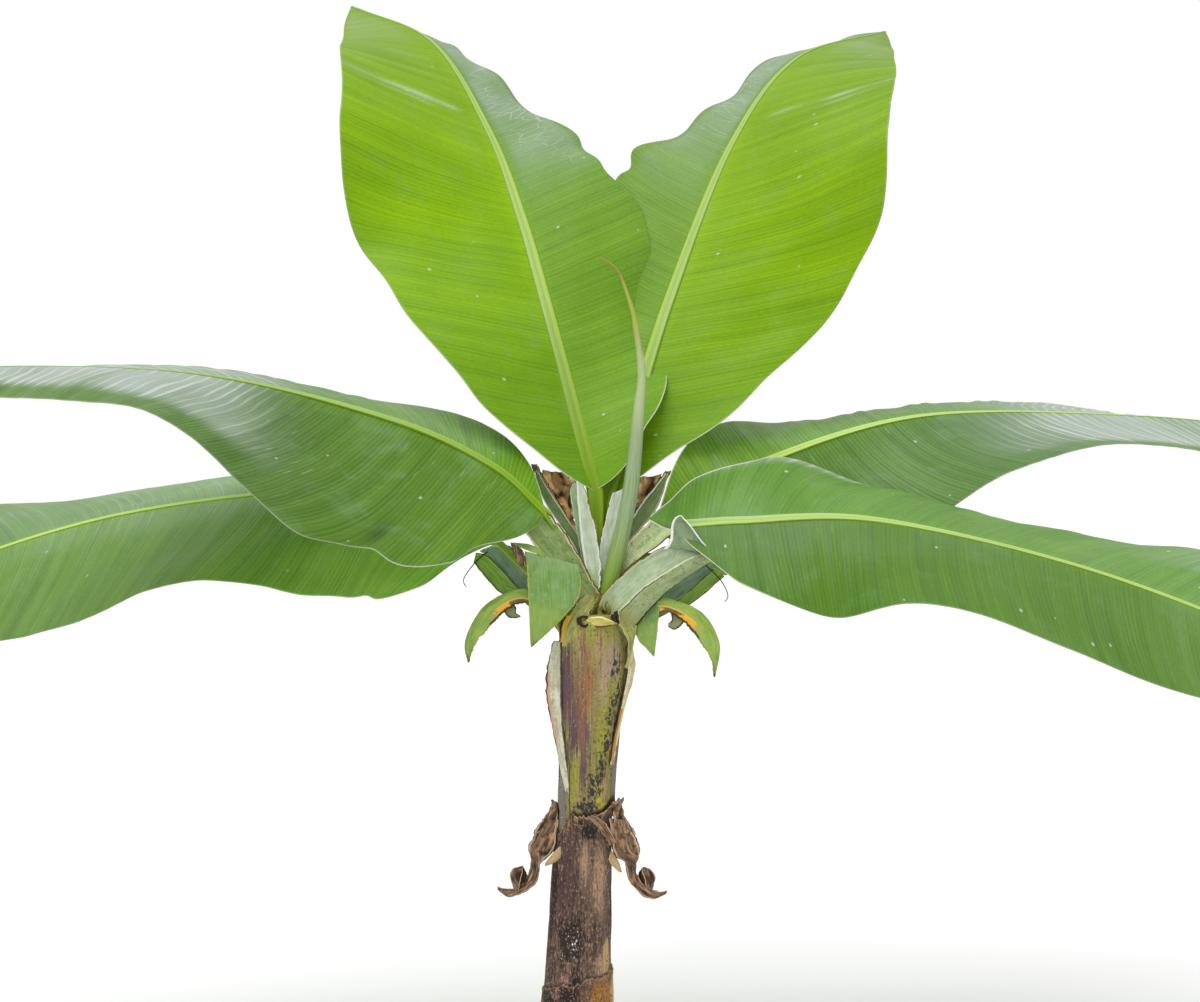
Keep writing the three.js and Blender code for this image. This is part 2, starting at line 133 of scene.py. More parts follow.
# The leaves. rib runs from base to tip and stalk from the crown up to it; joint is where on the rib the stalk ends.
# facing is the way the right half points, in degrees from the front round to the right. keel is the rib's half
# width, how fast it tapers and how far it stands up; foot is the stalk's share of that width at the crown.
# rib_tones are its colours at base and tip, and sunny is which of its shoulders is painted as the lit one, yellower,
# while the other is greyer. pleat, wave, gloss and lines say how strong the pleats with their painted shade and
# highlight, the margin's waves, the shine and the vein lines are.
# For each half: its width, where it starts and where it is widest, how full its base and tip are, how blunt the tip
# is, how it lifts from the level and how it curls, both in degrees from base to tip, how much its side veins slant,
# and its tones from base to tip. bumps move its margin out or in: place, mm, half width. frill is the height of the
# margin's close waves.
# sheen lists where a painted whitish sheen lies over the wax: half, along from and to, across from and to, strength.
# streaks lists creases along the side veins that are painted with a whitish reflection: half, place along the rib,
# across from and to, width in mm, strength. dents lists hollows painted with shade: half, along, across, their half
# widths as shares, strength.
LEAVES = {
    "left_upper": dict(
        facing=110, sunny=1, slot="fresh_blade", seed=3, pleat=0.4, wave=0.7, gloss=0.15, lines=0.3,
        rib=[(40, 50, 1254), (-60, 168, 1631), (-116, 254, 1830), (-191, 360, 2031), (-321, 499, 2250),
             (-519, 660, 2367)],
        keel=(17, 1.2, 0.42), rib_tones=("#7fa01a", "#a8c466"), foot=0.3,
        left=dict(width=360, peak=0.48, base=0.71, tip=0.92, blunt=1.62,
                  lift=(14, 17, -2, 15, 4, -16), curl=(2, -18, -8, -24), slant=(0.05, 0.2, 0.28, 0.3, 0.42, 0.35),
                  # These bright yellow-greens are painted light: the glow of light coming through the leaf.
                  tones=("#6c9818", "#80ad00", "#7ea126"),
                  bumps=[(0.333, -17, 0.05), (0.57, 9, 0.05), (0.13, 12, 0.03), (0.05, -10, 0.05)]),
        right=dict(width=264, peak=0.42, base=0.47, tip=0.92, blunt=1.39,
                   lift=(49, 3, 21, 3, -13, -8), curl=(18, -28, -35, -13), slant=(0.05, 0.2, 0.22, 0.24, 0.28, 0.3),
                   tones=("#719e22", "#6d992a", "#688c50"), frill=9,
                   bumps=[(0.69, -34, 0.06), (0.575, 22, 0.02), (0.49, -26, 0.03), (0.41, 12, 0.03), (0.25, 16, 0.05),
                          (0.14, 8, 0.04), (0.06, -12, 0.02)]),
        stalk=[(46, 26, 1010), (44, 36, 1130)],
        sheen=[(1, 0.5, 0.97, 0.08, 0.95, 0.5), (-1, 0.82, 1, 0.2, 1, 0.3)],
        streaks=[(-1, 0.63, 0.1, 1.05, 8, 0.8), (-1, 0.615, 0.3, 0.95, 5, 0.5), (-1, 0.75, 0.1, 0.9, 12, 0.25),
                 (1, 0.72, 0.1, 0.8, 4, 0.5), (1, 0.78, 0.1, 0.8, 4, 0.5), (1, 0.66, 0.1, 0.7, 4, 0.4)],
        dents=[]),
    "right_upper": dict(
        facing=74, sunny=-1, slot="fresh_blade", seed=8, pleat=0.4, wave=0.7, gloss=0.15, lines=0.3,
        rib=[(64, 64, 1234), (113, 121, 1388), (194, 235, 1651), (333, 381, 2001), (487, 518, 2218),
             (706, 680, 2314)],
        keel=(15.5, 1.2, 0.42), rib_tones=("#8bac28", "#a6c264"), foot=0.35,
        left=dict(width=219, peak=0.39, base=0.5, tip=0.89, blunt=1.99,
                  lift=(-25, -13, 3, -6, -11, 1), curl=(-3, 22, -34, -3), slant=(0.05, 0.2, 0.22, 0.24, 0.28, 0.3),
                  tones=("#719e22", "#6f982e", "#678a50"), frill=9,
                  bumps=[(0.68, -42, 0.07), (0.545, 32, 0.025)]),
        right=dict(width=388, peak=0.48, base=1.09, tip=0.91, blunt=1.64,
                   lift=(4, -5, -1, 18, 7, -16), curl=(-6, -12, -11, -23), slant=(0.1, 0.38, 0.42, 0.36, 0.42, 0.35),
                   # These bright yellow-greens are painted light: the glow of light coming through the leaf.
                   tones=("#6a9510", "#7fa900", "#7a9e26"),
                   bumps=[(0.31, -16, 0.08), (0.41, -14, 0.05), (0.22, -16, 0.05), (0.09, -10, 0.04)]),
        stalk=[(54, 30, 1010), (57, 46, 1120)],
        sheen=[(-1, 0.55, 0.97, 0.08, 0.95, 0.5), (1, 0.82, 1, 0.2, 1, 0.3)],
        streaks=[(1, 0.64, 0.1, 1.05, 8, 0.7), (1, 0.62, 0.3, 0.95, 5, 0.5), (1, 0.76, 0.1, 0.9, 12, 0.25),
                 (-1, 0.68, 0.1, 0.8, 4, 0.5), (-1, 0.76, 0.1, 0.8, 4, 0.5)],
        dents=[]),
    "left_high": dict(
        facing=196, sunny=-1, slot="mature_blade", seed=5, pleat=1.2, wave=0.8, gloss=0.35, lines=0.7,
        rib=[(-57, -25, 1208), (-163, -69, 1303), (-362, -142, 1393), (-711, -275, 1471), (-1123, -426, 1473),
             (-1326, -480, 1427)],
        keel=(11, 0.9, 0.22), rib_tones=("#88ad20", "#a4c263"), foot=0.7,
        left=dict(width=332, peak=0.26, base=0.53, tip=0.86, blunt=2.24,
                  lift=(-53, -61, -43, -7, -7, -20), curl=(-10, 11, -26, -18),
                  slant=(0.15, 0.4, 0.65, 0.5, 0.3, 0.3), tones=("#5f8a1a", "#507622", "#668a40"),
                  bumps=[(0.375, 68, 0.065), (0.5, 34, 0.09), (0.25, -14, 0.03), (0.06, -24, 0.06)]),
        right=dict(width=325, peak=0.32, base=1.1, tip=0.85, blunt=2.2,
                   lift=(50, 20, 16, 9, -5, -20), curl=(3, -20, -11, -21), slant=(0, 0.02, 0.15, 0.26, 0.3, 0.3),
                   tones=("#6d9e1f", "#578333", "#7c9c70")),
        stalk=[(14, 32, 1010), (-8, 12, 1110)],
        sheen=[(-1, 0.46, 1.1, -0.2, 0.8, 0.85), (1, 0.42, 1.1, -0.2, 1.2, 0.8)], streaks=[],
        dents=[(-1, 0.157, 0.86, 0.01, 0.13, 0.8)]),
    "left_low": dict(
        facing=172, sunny=-1, slot="mature_blade", seed=11, pleat=0.9, wave=1.0, gloss=0.35, lines=0.45,
        rib=[(-91, 20, 1089), (-213, 48, 1189), (-434, 73, 1257), (-939, 123, 1204), (-1365, 130, 1066),
             (-1613, 120, 916)],
        keel=(9, 1.5, 0.22), rib_tones=("#adce51", "#bfdf70"), foot=1.0,
        left=dict(width=288, start=0.06, peak=0.39, base=0.75, tip=0.85, blunt=2.2,
                  lift=(-44, -54, -31, -43, -51, -59), curl=(-4, -9, -11, -21),
                  # The light base and middle tones are painted light, offsetting the shadow that left_high casts here.
                  slant=(0.05, 0.2, 0.24, 0.26, 0.28, 0.3), tones=("#a4da56", "#74a040", "#51790f"),
                  bumps=[(0.128, 100, 0.045), (0.09, 24, 0.03), (0.2, 45, 0.05), (0.28, 16, 0.04)]),
        right=dict(width=290, start=0.06, peak=0.43, base=0.5, tip=0.84, blunt=2.29,
                   lift=(24, 23, 18, 22, 43, 32), curl=(2, -14, -10, -17), slant=(0.05, 0.2, 0.24, 0.26, 0.28, 0.3),
                   tones=("#74a43c", "#6c9940", "#567d2e")),
        stalk=[(-20, 24, 1000), (-50, 20, 1036)],
        sheen=[(1, 0.3, 0.95, -0.2, 1.2, 0.3), (-1, 0.25, 0.7, -0.2, 0.3, 0.3)], streaks=[], dents=[]),
    "right_high": dict(
        facing=16, sunny=1, slot="mature_blade", seed=17, pleat=1.2, wave=0.8, gloss=0.35, lines=0.7,
        rib=[(161, 30, 1190), (338, 94, 1294), (717, 219, 1410), (1225, 375, 1416), (1563, 454, 1381),
             (1758, 490, 1323)],
        keel=(9, 0.9, 0.22), rib_tones=("#b3d448", "#c1dc88"), foot=0.7,
        left=dict(width=266, peak=0.4, base=1.0, tip=0.85, blunt=2.17,
                  lift=(84, 29, 19, 10, -5, -20), curl=(14, -35, 0, -24), slant=(0, 0.1, 0.2, 0.26, 0.3, 0.3),
                  tones=("#6f9c1a", "#6b9746", "#7c9c70")),
        right=dict(width=272, peak=0.32, base=0.5, tip=0.85, blunt=2.09,
                   lift=(-84, -79, -40, -24, -29, -29), curl=(-4, 26, 2, -22),
                   slant=(0.05, 0.22, 0.3, 0.3, 0.3, 0.3), tones=("#638d26", "#527836", "#6c9440")),
        stalk=[(78, 34, 1006), (112, 44, 1110)],
        sheen=[(1, 0.46, 1.1, -0.2, 0.85, 0.8), (-1, 0.5, 1.1, -0.2, 1.2, 0.8)], streaks=[], dents=[]),
    "right_low": dict(
        facing=-22, sunny=1, slot="mature_blade", seed=23, pleat=0.6, wave=1.0, gloss=0.35, lines=0.35,
        rib=[(150, -34, 1198), (210, -44, 1187), (329, -69, 1194), (581, -157, 1196), (942, -297, 1111),
             (1260, -407, 985), (1436, -450, 865)],
        keel=(9.5, 1.5, 0.3), rib_tones=("#aeca76", "#b0ca78"), foot=0.6,
        left=dict(width=244, peak=0.34, base=0.8, tip=0.82, blunt=2.44,
                  lift=(82, 41, 30, 23, 41, 14), curl=(16, -46, -9, -13), slant=(0.05, 0.22, 0.26, 0.28, 0.3, 0.3),
                  tones=("#5e8d27", "#659236", "#6a9444"), bumps=[(0.1, -16, 0.05), (0.18, 18, 0.05)]),
        right=dict(width=249, start=0.045, peak=0.4, base=0.64, tip=0.89, blunt=2.17,
                   lift=(-58, -56, -24, -27, -46, -50), curl=(-7, -12, -16, -22),
                   slant=(0.05, 0.22, 0.26, 0.28, 0.3, 0.3), tones=("#4c7714", "#4f7a14", "#5e8335"),
                   bumps=[(0.3, 20, 0.08), (0.03, 15, 0.03)]),
        stalk=[(66, 20, 1012), (130, 0, 1072), (184, -18, 1128)], joint=0.05,
        sheen=[(-1, 0.1, 0.32, 0.9, 1.2, 0.7), (1, 0, 0.5, 0.0, 0.5, 0.15), (-1, 0.6, 1, 0.5, 1.2, 0.3)],
        streaks=[], dents=[]),
}
# How far the margin runs ahead of its place on the rib, as a share of the width.
SWEEP = (0, 0.1, 0.25, 0.4)

# The rolled new leaf: its course, and its radius from foot to tip.
SPEAR = [(58, -6, 1012), (78, -4, 1100), (111, 4, 1250), (130, 14, 1440), (132, 18, 1500), (122, 18, 1580),
         (104, 18, 1650), (82, 18, 1698), (48, 18, 1722)]
SPEAR_RADIUS = (15, 17, 16, 15, 12.5, 9, 6, 3.5, 1.5)

# Thin threads that hang from the ends of cut stubs: the CAD node each stands for, and its course.
THREADS = {
    "thread_left": ("stub_flat_left", [(-176, 44, 1130), (-200, 42, 1110), (-222, 40, 1081), (-225, 40, 1068),
                                       (-219, 40, 1057)]),
    "thread_right": ("stub_flat_right", [(258, -30, 1106), (288, -26, 1077), (302, -24, 1053), (304, -24, 1040),
                                         (297, -24, 1030)]),
}

# The ridge that both faces of the lowest right stalk share.
RIGHT_LOW_RIDGE = [(74, -44, 996), (88, -54, 1015), (105, -60, 1031), (129, -63, 1056), (166, -65, 1082),
                   (203, -65, 1105), (235, -63, 1121), (271, -60, 1131)]
# Sheets of tissue, each with the CAD node it stands for. Each lies between a left and a right edge, given from its
# foot to its end as it hangs or stands. cup is how far its middle stands back, ragged how torn each edge is, crumple
# how creased it is, and inner is -1 where its inner edge is the left one.
SHEETS = {
    "pale_wing_left": dict(
        node="sheath_pale_left", slot="pale_sheath", finish="pale", cup=5, ragged=(0.4, 1.6),
        left=[(30, -14, 1035), (20, -4, 1102), (12, 4, 1154), (7, 10, 1210), (4, 16, 1246), (4, 20, 1272)],
        right=[(46, -16, 1035), (51, -8, 1086), (50, -4, 1126), (42, 2, 1174), (32, 6, 1212), (26, 8, 1228),
               (25, 10, 1242), (16, 16, 1264)]),
    "pale_wing_left_back": dict(
        node="sheath_pale_left", slot="pale_sheath", finish="sage", cup=4, ragged=(0.8, 0.4),
        left=[(22, 8, 1074), (10, 14, 1138), (-2, 22, 1198), (-9, 28, 1242), (-6, 30, 1266)],
        right=[(34, 4, 1074), (22, 10, 1138), (12, 16, 1198), (8, 20, 1242), (6, 22, 1272)]),
    "pale_wing_right": dict(
        node="sheath_pale_right", slot="pale_sheath", finish="pale_lightened_for_shade", cup=6, ragged=(1.4, 0.4),
        left=[(46, 6, 1034), (46, 12, 1086), (51, 18, 1144), (60, 24, 1190), (69, 29, 1222), (76, 32, 1248)],
        right=[(74, 14, 1033), (78, 20, 1085), (88, 26, 1143), (94, 32, 1190), (100, 36, 1222), (98, 38, 1256)]),
    "cut_stub_left": dict(
        node="stub_channel_left", slot="stub", finish="channel", cup=9, ragged=(0.3, 0.5), thickness=2.2,
        left=[(26, 26, 1021), (18, 34, 1093), (-2, 42, 1139), (-27, 48, 1177), (-57, 54, 1222), (-76, 58, 1260),
              (-83, 62, 1291)],
        right=[(42, 30, 1021), (34, 40, 1093), (14, 46, 1149), (-19, 56, 1202), (-49, 64, 1248), (-66, 67, 1275),
               (-80, 66, 1295)]),
    "cut_stub_left_inner": dict(
        node="stub_channel_left", slot="stub", finish="withered", cup=6, ragged=(1.5, 1.5), thickness=2.0,
        left=[(-31, 66, 1193), (-56, 72, 1234), (-76, 76, 1271), (-90, 80, 1307)],
        right=[(-15, 70, 1197), (-40, 78, 1240), (-58, 82, 1271), (-80, 84, 1307)]),
    "cut_stub_right": dict(
        node="stub_channel_right", slot="stub", finish="channel", cup=9, ragged=(0.5, 0.3), thickness=2.2,
        left=[(58, 30, 1021), (68, 40, 1093), (86, 46, 1151), (111, 54, 1189), (137, 60, 1230), (162, 65, 1260),
              (184, 66, 1287)],
        right=[(74, 26, 1021), (84, 34, 1089), (100, 42, 1139), (127, 48, 1171), (155, 54, 1202), (172, 58, 1234),
               (188, 62, 1287)]),
    "cut_stub_right_inner": dict(
        node="stub_channel_right", slot="stub", finish="withered", cup=6, ragged=(1.5, 1.5), thickness=2.0,
        left=[(119, 70, 1197), (142, 78, 1234), (162, 82, 1265), (184, 84, 1293)],
        right=[(135, 66, 1193), (158, 72, 1228), (176, 76, 1260), (195, 80, 1293)]),
    "dry_remnant_left": dict(
        node="dry_remnant_left", slot="dry_sheath", finish="dry_lightened_for_shade", cup=9, ragged=(3, 3), crumple=9,
        left=[(26, 50, 1020), (1, 64, 1100), (-27, 80, 1177), (-54, 92, 1240), (-69, 98, 1275), (-71, 100, 1295)],
        right=[(42, 54, 1019), (18, 70, 1100), (1, 86, 1177), (-1, 96, 1234), (3, 100, 1263), (-11, 104, 1291)]),
    "dry_remnant_right": dict(
        node="dry_remnant_right", slot="dry_sheath", finish="dry_lightened_for_shade", cup=9, ragged=(3, 3), crumple=9,
        left=[(58, 54, 1019), (82, 70, 1100), (99, 86, 1177), (105, 96, 1222), (111, 100, 1254), (120, 104, 1279)],
        right=[(74, 50, 1020), (99, 64, 1100), (131, 80, 1173), (156, 92, 1234), (171, 98, 1263), (175, 100, 1287)]),
    "stalk_channel_left_high": dict(
        node="stalk_left_high", slot="stalk", finish="channel_olive", cup=15, ragged=(0.3, 1.4), thickness=2.6,
        left=[(18, -34, 996), (0, -38, 1036), (-25, -40, 1079), (-53, -42, 1115), (-77, -44, 1143), (-98, -46, 1171),
              (-110, -47, 1186)],
        right=[(62, -16, 1023), (50, -18, 1047), (30, -20, 1083), (14, -22, 1115), (4, -22, 1132), (-18, -24, 1166),
               (-37, -26, 1190), (-55, -29, 1210)]),
    "stalk_channel_right_high": dict(
        node="stalk_right_high", slot="stalk", finish="channel_lightened_for_shade", cup=14, ragged=(1.2, 0.3), thickness=2.6,
        left=[(54, 4, 1022), (66, 6, 1070), (82, 10, 1110), (104, 14, 1144), (130, 18, 1172), (155, 22, 1194),
              (171, 24, 1206)],
        right=[(74, -10, 1010), (94, -8, 1082), (130, -4, 1118), (162, 0, 1140), (186, 6, 1160), (202, 10, 1170)]),
    "stalk_channel_right_low": dict(
        node="stalk_right_low", slot="stalk", finish="channel_pale", cup=12, ragged=(1.3, 0.2), thickness=2.4,
        left=[(46, -30, 1023), (58, -32, 1047), (80, -34, 1073), (116, -36, 1104), (153, -38, 1129), (183, -40, 1146),
              (193, -41, 1163), (228, -40, 1171), (260, -42, 1163)],
        right=RIGHT_LOW_RIDGE),
    "stalk_keel_right_low": dict(
        node="stalk_right_low", slot="stalk", finish="keel_pale", cup=-9, ragged=(0.2, 1.2), thickness=2.4,
        left=RIGHT_LOW_RIDGE,
        right=[(110, -36, 956), (117, -40, 976), (129, -44, 995), (167, -46, 1038), (193, -46, 1063), (230, -44, 1090),
               (263, -42, 1111), (284, -42, 1124)]),
    "stalk_hood_right_low": dict(
        node="stalk_right_low", slot="stalk", finish="hood", cup=13, ragged=(0.2, 0.2), thickness=1.8,
        left=[(176, -60, 1137), (186, -64, 1151), (190, -66, 1165), (191, -68, 1183), (197, -68, 1197),
              (208, -68, 1203)],
        right=[(282, -72, 1122), (270, -78, 1134), (256, -80, 1146), (241, -80, 1165), (225, -76, 1187),
               (209, -68, 1203)]),
    "stalk_wing_right_low": dict(
        node="stalk_right_low", slot="stalk", finish="green_cut", cup=2, ragged=(0.6, 0.8),
        left=[(252, -38, 1113), (266, -40, 1117), (280, -41, 1121), (296, -40, 1109), (307, -38, 1093)],
        right=[(256, -36, 1105), (270, -37, 1101), (284, -37, 1093), (298, -37, 1084), (307, -37, 1090)]),
    "hanging_blade_left": dict(
        node="remnant_blade_left", slot="mature_blade", finish="green_cut", cup=-5, ragged=(0.3, 0.4),
        left=[(-99, -62, 1133), (-95, -66, 1104), (-93, -74, 1069), (-89, -82, 1014), (-87, -84, 971),
              (-85, -84, 945)],
        right=[(8, -52, 1105), (13, -58, 1082), (12, -64, 1053), (1, -68, 1029), (-31, -76, 994), (-58, -82, 969),
               (-82, -84, 947)]),
    "hanging_blade_left_fold": dict(
        node="remnant_blade_left", slot="mature_blade", finish="green_cut", cup=-1, ragged=(0.3, 0.3),
        left=[(-128, -52, 1150), (-108, -56, 1149), (-88, -58, 1146), (-70, -60, 1139), (-55, -60, 1121)],
        right=[(-128, -52, 1149), (-110, -58, 1142), (-92, -62, 1134), (-74, -64, 1128), (-56, -62, 1118)]),
    "hanging_blade_left_withered": dict(
        node="remnant_blade_left", slot="mature_blade", finish="dry", cup=3, ragged=(1.5, 1.2), crumple=4,
        left=[(-125, -50, 1148), (-120, -50, 1131), (-114, -50, 1115), (-106, -50, 1103)],
        right=[(-108, -52, 1141), (-101, -54, 1129), (-98, -54, 1115), (-98, -52, 1102)]),
    "hanging_blade_right": dict(
        node="remnant_blade_right", slot="mature_blade", finish="green_cut", cup=-4, ragged=(0.4, 0.3),
        left=[(133, -32, 1043), (118, -32, 1012), (117, -34, 984), (127, -38, 956), (141, -42, 941), (156, -46, 925)],
        right=[(185, -32, 1067), (173, -34, 1041), (168, -36, 1016), (164, -40, 978), (160, -44, 947),
               (157, -46, 924)]),
    "hook_left": dict(
        node="hook_left", slot="stub", finish="hook", cup=-7, ragged=(0.3, 1.4), thickness=2.0,
        left=[(-30, -22, 991), (-59, -34, 1030), (-97, -42, 1057), (-142, -47, 1047), (-179, -50, 1023),
              (-205, -50, 985), (-217, -50, 947), (-211, -50, 912)],
        right=[(-30, -20, 971), (-61, -32, 1008), (-93, -38, 1028), (-116, -44, 1028), (-136, -47, 1016),
               (-154, -49, 999), (-177, -50, 974), (-198, -50, 947), (-209, -50, 914)]),
    "hook_left_curl": dict(
        node="hook_left", slot="stub", finish="withered_green", cup=4, ragged=(0.6, 1.0),
        left=[(-140, -46, 1014), (-132, -48, 1004), (-120, -50, 1000), (-107, -50, 1003)],
        right=[(-120, -42, 1028), (-117, -44, 1018), (-116, -46, 1010), (-108, -48, 1005)]),
    "hook_right": dict(
        node="hook_right", slot="stub", finish="hook", cup=-7, ragged=(1.4, 0.3), thickness=2.0, inner=-1,
        left=[(118, -16, 967), (145, -24, 997), (171, -30, 1012), (190, -34, 1011), (213, -38, 995), (236, -40, 970),
              (258, -42, 941), (270, -44, 917), (276, -44, 884)],
        right=[(110, -18, 987), (141, -28, 1027), (174, -34, 1040), (209, -38, 1031), (236, -40, 1021),
               (260, -42, 1002), (278, -44, 973), (287, -44, 936), (277, -44, 883)]),
    "hook_right_curl": dict(
        node="hook_right", slot="stub", finish="withered_green", cup=4, ragged=(1.0, 0.6),
        left=[(216, -38, 995), (210, -40, 984), (197, -42, 978), (185, -42, 985)],
        right=[(191, -34, 1010), (193, -36, 1000), (192, -38, 994), (186, -40, 989)]),
    "side_stub_left_dark": dict(
        node="stub_flat_left", slot="stub", finish="blue_cut", cup=5, ragged=(0.4, 0.4), thickness=2.2,
        left=[(-39, 40, 996), (-69, 42, 1028), (-112, 44, 1050), (-146, 46, 1089), (-178, 47, 1121), (-193, 47, 1131)],
        right=[(-19, 34, 1020), (-55, 38, 1073), (-91, 42, 1111), (-120, 44, 1135), (-152, 45, 1145),
               (-184, 46, 1135)]),
    "side_stub_left_bright": dict(
        node="stub_flat_left", slot="stub", finish="green_back", cup=3, ragged=(0.4, 0.4), thickness=2.2,
        left=[(-47, 34, 984), (-79, 36, 1008), (-119, 38, 1040), (-148, 39, 1045), (-180, 42, 1077), (-205, 44, 1109)],
        right=[(-39, 37, 1000), (-71, 39, 1028), (-113, 41, 1054), (-146, 43, 1091), (-178, 45, 1121),
               (-201, 46, 1127)]),
    "side_stub_right_dark": dict(
        node="stub_flat_right", slot="stub", finish="blue_cut", cup=5, ragged=(0.4, 0.4), thickness=2.2,
        left=[(118, 32, 1000), (147, 30, 1025), (179, 28, 1053), (231, 24, 1089), (279, 20, 1115)],
        right=[(139, 32, 984), (175, 29, 1013), (207, 26, 1033), (247, 23, 1065), (279, 20, 1092)]),
    "side_stub_right_bright": dict(
        node="stub_flat_right", slot="stub", finish="green_back", cup=3, ragged=(0.4, 0.4), thickness=2.2,
        left=[(143, 28, 1001), (175, 25, 1017), (205, 22, 1031), (247, 19, 1067), (277, 17, 1093), (291, 15, 1098)],
        right=[(151, 26, 989), (187, 23, 1007), (229, 20, 1024), (263, 17, 1049), (285, 15, 1069), (299, 14, 1080)]),
    "paper_sheath_left": dict(
        node="paper_sheath_left", slot="paper_sheath", finish="paper", cup=-5, ragged=(1.6, 0.3), thickness=1.4,
        left=[(-11, -40, 627), (-22, -30, 670), (-32, -18, 716), (-41, -12, 765), (-51, -12, 811), (-57, -13, 847),
              (-56, -14, 891), (-50, -14, 927), (-41, -14, 953)],
        right=[(-7, -48, 629), (-10, -46, 672), (-15, -44, 719), (-21, -40, 768), (-25, -38, 814), (-26, -36, 849),
               (-26, -34, 893), (-26, -33, 928), (-27, -32, 954)]),
    "paper_sheath_right": dict(
        node="paper_sheath_right", slot="paper_sheath", finish="paper_gold",
        cup=-5, ragged=(0.3, 1.6), thickness=1.4, inner=-1,
        left=[(68, -46, 711), (74, -44, 749), (83, -42, 798), (92, -38, 835), (100, -36, 877), (104, -34, 908),
              (104, -32, 940)],
        right=[(74, -20, 708), (83, -18, 752), (92, -16, 796), (102, -14, 837), (114, -12, 875), (120, -12, 913),
               (110, -12, 953)]),
    "dry_curl_left": dict(
        node="dry_curl_left", slot="dry_sheath", finish="dry", cup=-7, ragged=(1.6, 0.6), thickness=1.8, crumple=4,
        left=[(-47, 8, 631), (-52, 2, 614), (-64, -6, 595), (-76, -12, 582), (-82, -16, 568)],
        right=[(-36, 4, 627), (-34, -8, 605), (-35, -18, 583), (-38, -24, 562)]),
    "dry_tail_left": dict(
        node="dry_curl_left", slot="dry_sheath", finish="dry", cup=-6, ragged=(1.2, 0.8), thickness=1.8, crumple=2.6,
        left=[(-62, -4, 595), (-78, -12, 570), (-92, -18, 545), (-90, -20, 530), (-87, -22, 512), (-90, -24, 497),
              (-95, -26, 486), (-104, -28, 471), (-117, -29, 464), (-133, -30, 461), (-147, -30, 464),
              (-153, -30, 466)],
        right=[(-30, -14, 596), (-36, -22, 565), (-39, -26, 542), (-57, -28, 522), (-68, -28, 513), (-70, -28, 504),
               (-72, -30, 486), (-81, -32, 471), (-96, -34, 458), (-111, -34, 451), (-129, -34, 446), (-141, -33, 451),
               (-153, -32, 461)]),
    "dry_roll_left": dict(
        node="dry_curl_left", slot="dry_sheath", finish="dry", cup=-6, ragged=(0.8, 0.8), crumple=1.5,
        left=[(-121, -34, 460), (-126, -36, 480), (-128, -36, 492), (-121, -34, 502), (-106, -32, 507)],
        right=[(-111, -36, 460), (-107, -42, 479), (-104, -42, 491), (-103, -38, 500), (-103, -33, 507)]),
    "dry_roll_left_inside": dict(
        node="dry_curl_left", slot="dry_sheath", finish="dry_dark", cup=4, ragged=(0.8, 0.8), crumple=1.5,
        left=[(-115, -26, 458), (-111, -28, 477), (-111, -28, 489), (-109, -28, 499), (-105, -30, 507)],
        right=[(-107, -28, 461), (-99, -30, 476), (-96, -30, 486), (-99, -30, 499), (-103, -31, 507)]),
    "dry_curl_right": dict(
        node="dry_curl_right", slot="dry_sheath", finish="dry", cup=-7, ragged=(0.6, 1.6), thickness=1.8, crumple=4,
        left=[(73, -34, 633), (72, -36, 609), (76, -36, 583), (82, -34, 563)],
        right=[(92, -12, 634), (97, -16, 610), (106, -20, 593), (115, -22, 581), (121, -24, 568)]),
    "dry_tail_right": dict(
        node="dry_curl_right", slot="dry_sheath", finish="dry", cup=-6, ragged=(0.8, 1.2), thickness=1.8, crumple=2.6,
        left=[(66, -38, 603), (70, -38, 568), (74, -36, 540), (82, -34, 525), (97, -32, 517), (101, -32, 508),
              (104, -32, 490), (109, -32, 477), (123, -32, 460), (139, -32, 446), (157, -32, 442), (172, -32, 448),
              (182, -31, 453)],
        right=[(102, -24, 597), (116, -24, 570), (129, -24, 543), (127, -24, 527), (122, -25, 510), (124, -26, 489),
               (130, -27, 477), (148, -28, 462), (160, -29, 457), (175, -30, 456), (183, -30, 459)]),
    "dry_roll_right": dict(
        node="dry_curl_right", slot="dry_sheath", finish="dry", cup=-6, ragged=(0.8, 0.8), crumple=1.5,
        left=[(143, -36, 460), (139, -42, 477), (135, -42, 489), (133, -38, 498), (137, -33, 505)],
        right=[(153, -34, 460), (159, -36, 478), (159, -36, 488), (153, -34, 498), (139, -32, 505)]),
    "dry_roll_right_inside": dict(
        node="dry_curl_right", slot="dry_sheath", finish="dry_dark", cup=4, ragged=(0.8, 0.8), crumple=1.5,
        left=[(141, -28, 461), (131, -30, 475), (128, -30, 486), (130, -30, 497), (137, -31, 505)],
        right=[(147, -26, 458), (141, -28, 475), (141, -28, 487), (139, -28, 497), (138, -30, 505)]),
    "dry_spike_left": dict(
        node="dry_curl_left", slot="dry_sheath", finish="straw", cup=-3, ragged=(0.5, 0.8),
        left=[(-29, -34, 547), (-41, -36, 536), (-51, -38, 524), (-59, -38, 511)],
        right=[(-25, -34, 527), (-35, -36, 518), (-47, -38, 512), (-59, -38, 509)]),
    "dry_spike_right": dict(
        node="dry_curl_right", slot="dry_sheath", finish="straw", cup=-3, ragged=(0.8, 0.5),
        left=[(66, -34, 519), (74, -36, 510), (82, -38, 502), (92, -38, 495)],
        right=[(72, -34, 539), (80, -36, 528), (88, -38, 514), (93, -38, 497)]),
    "dead_fold_right": dict(
        node="pseudostem", slot="dry_sheath", finish="dry", cup=-3, ragged=(1.2, 1.2), crumple=2.5,
        left=[(24, -60, 606), (42, -62, 593), (56, -62, 575), (66, -60, 551)],
        right=[(34, -62, 613), (54, -64, 603), (70, -64, 585), (82, -58, 559)]),
    "collar_lip": dict(
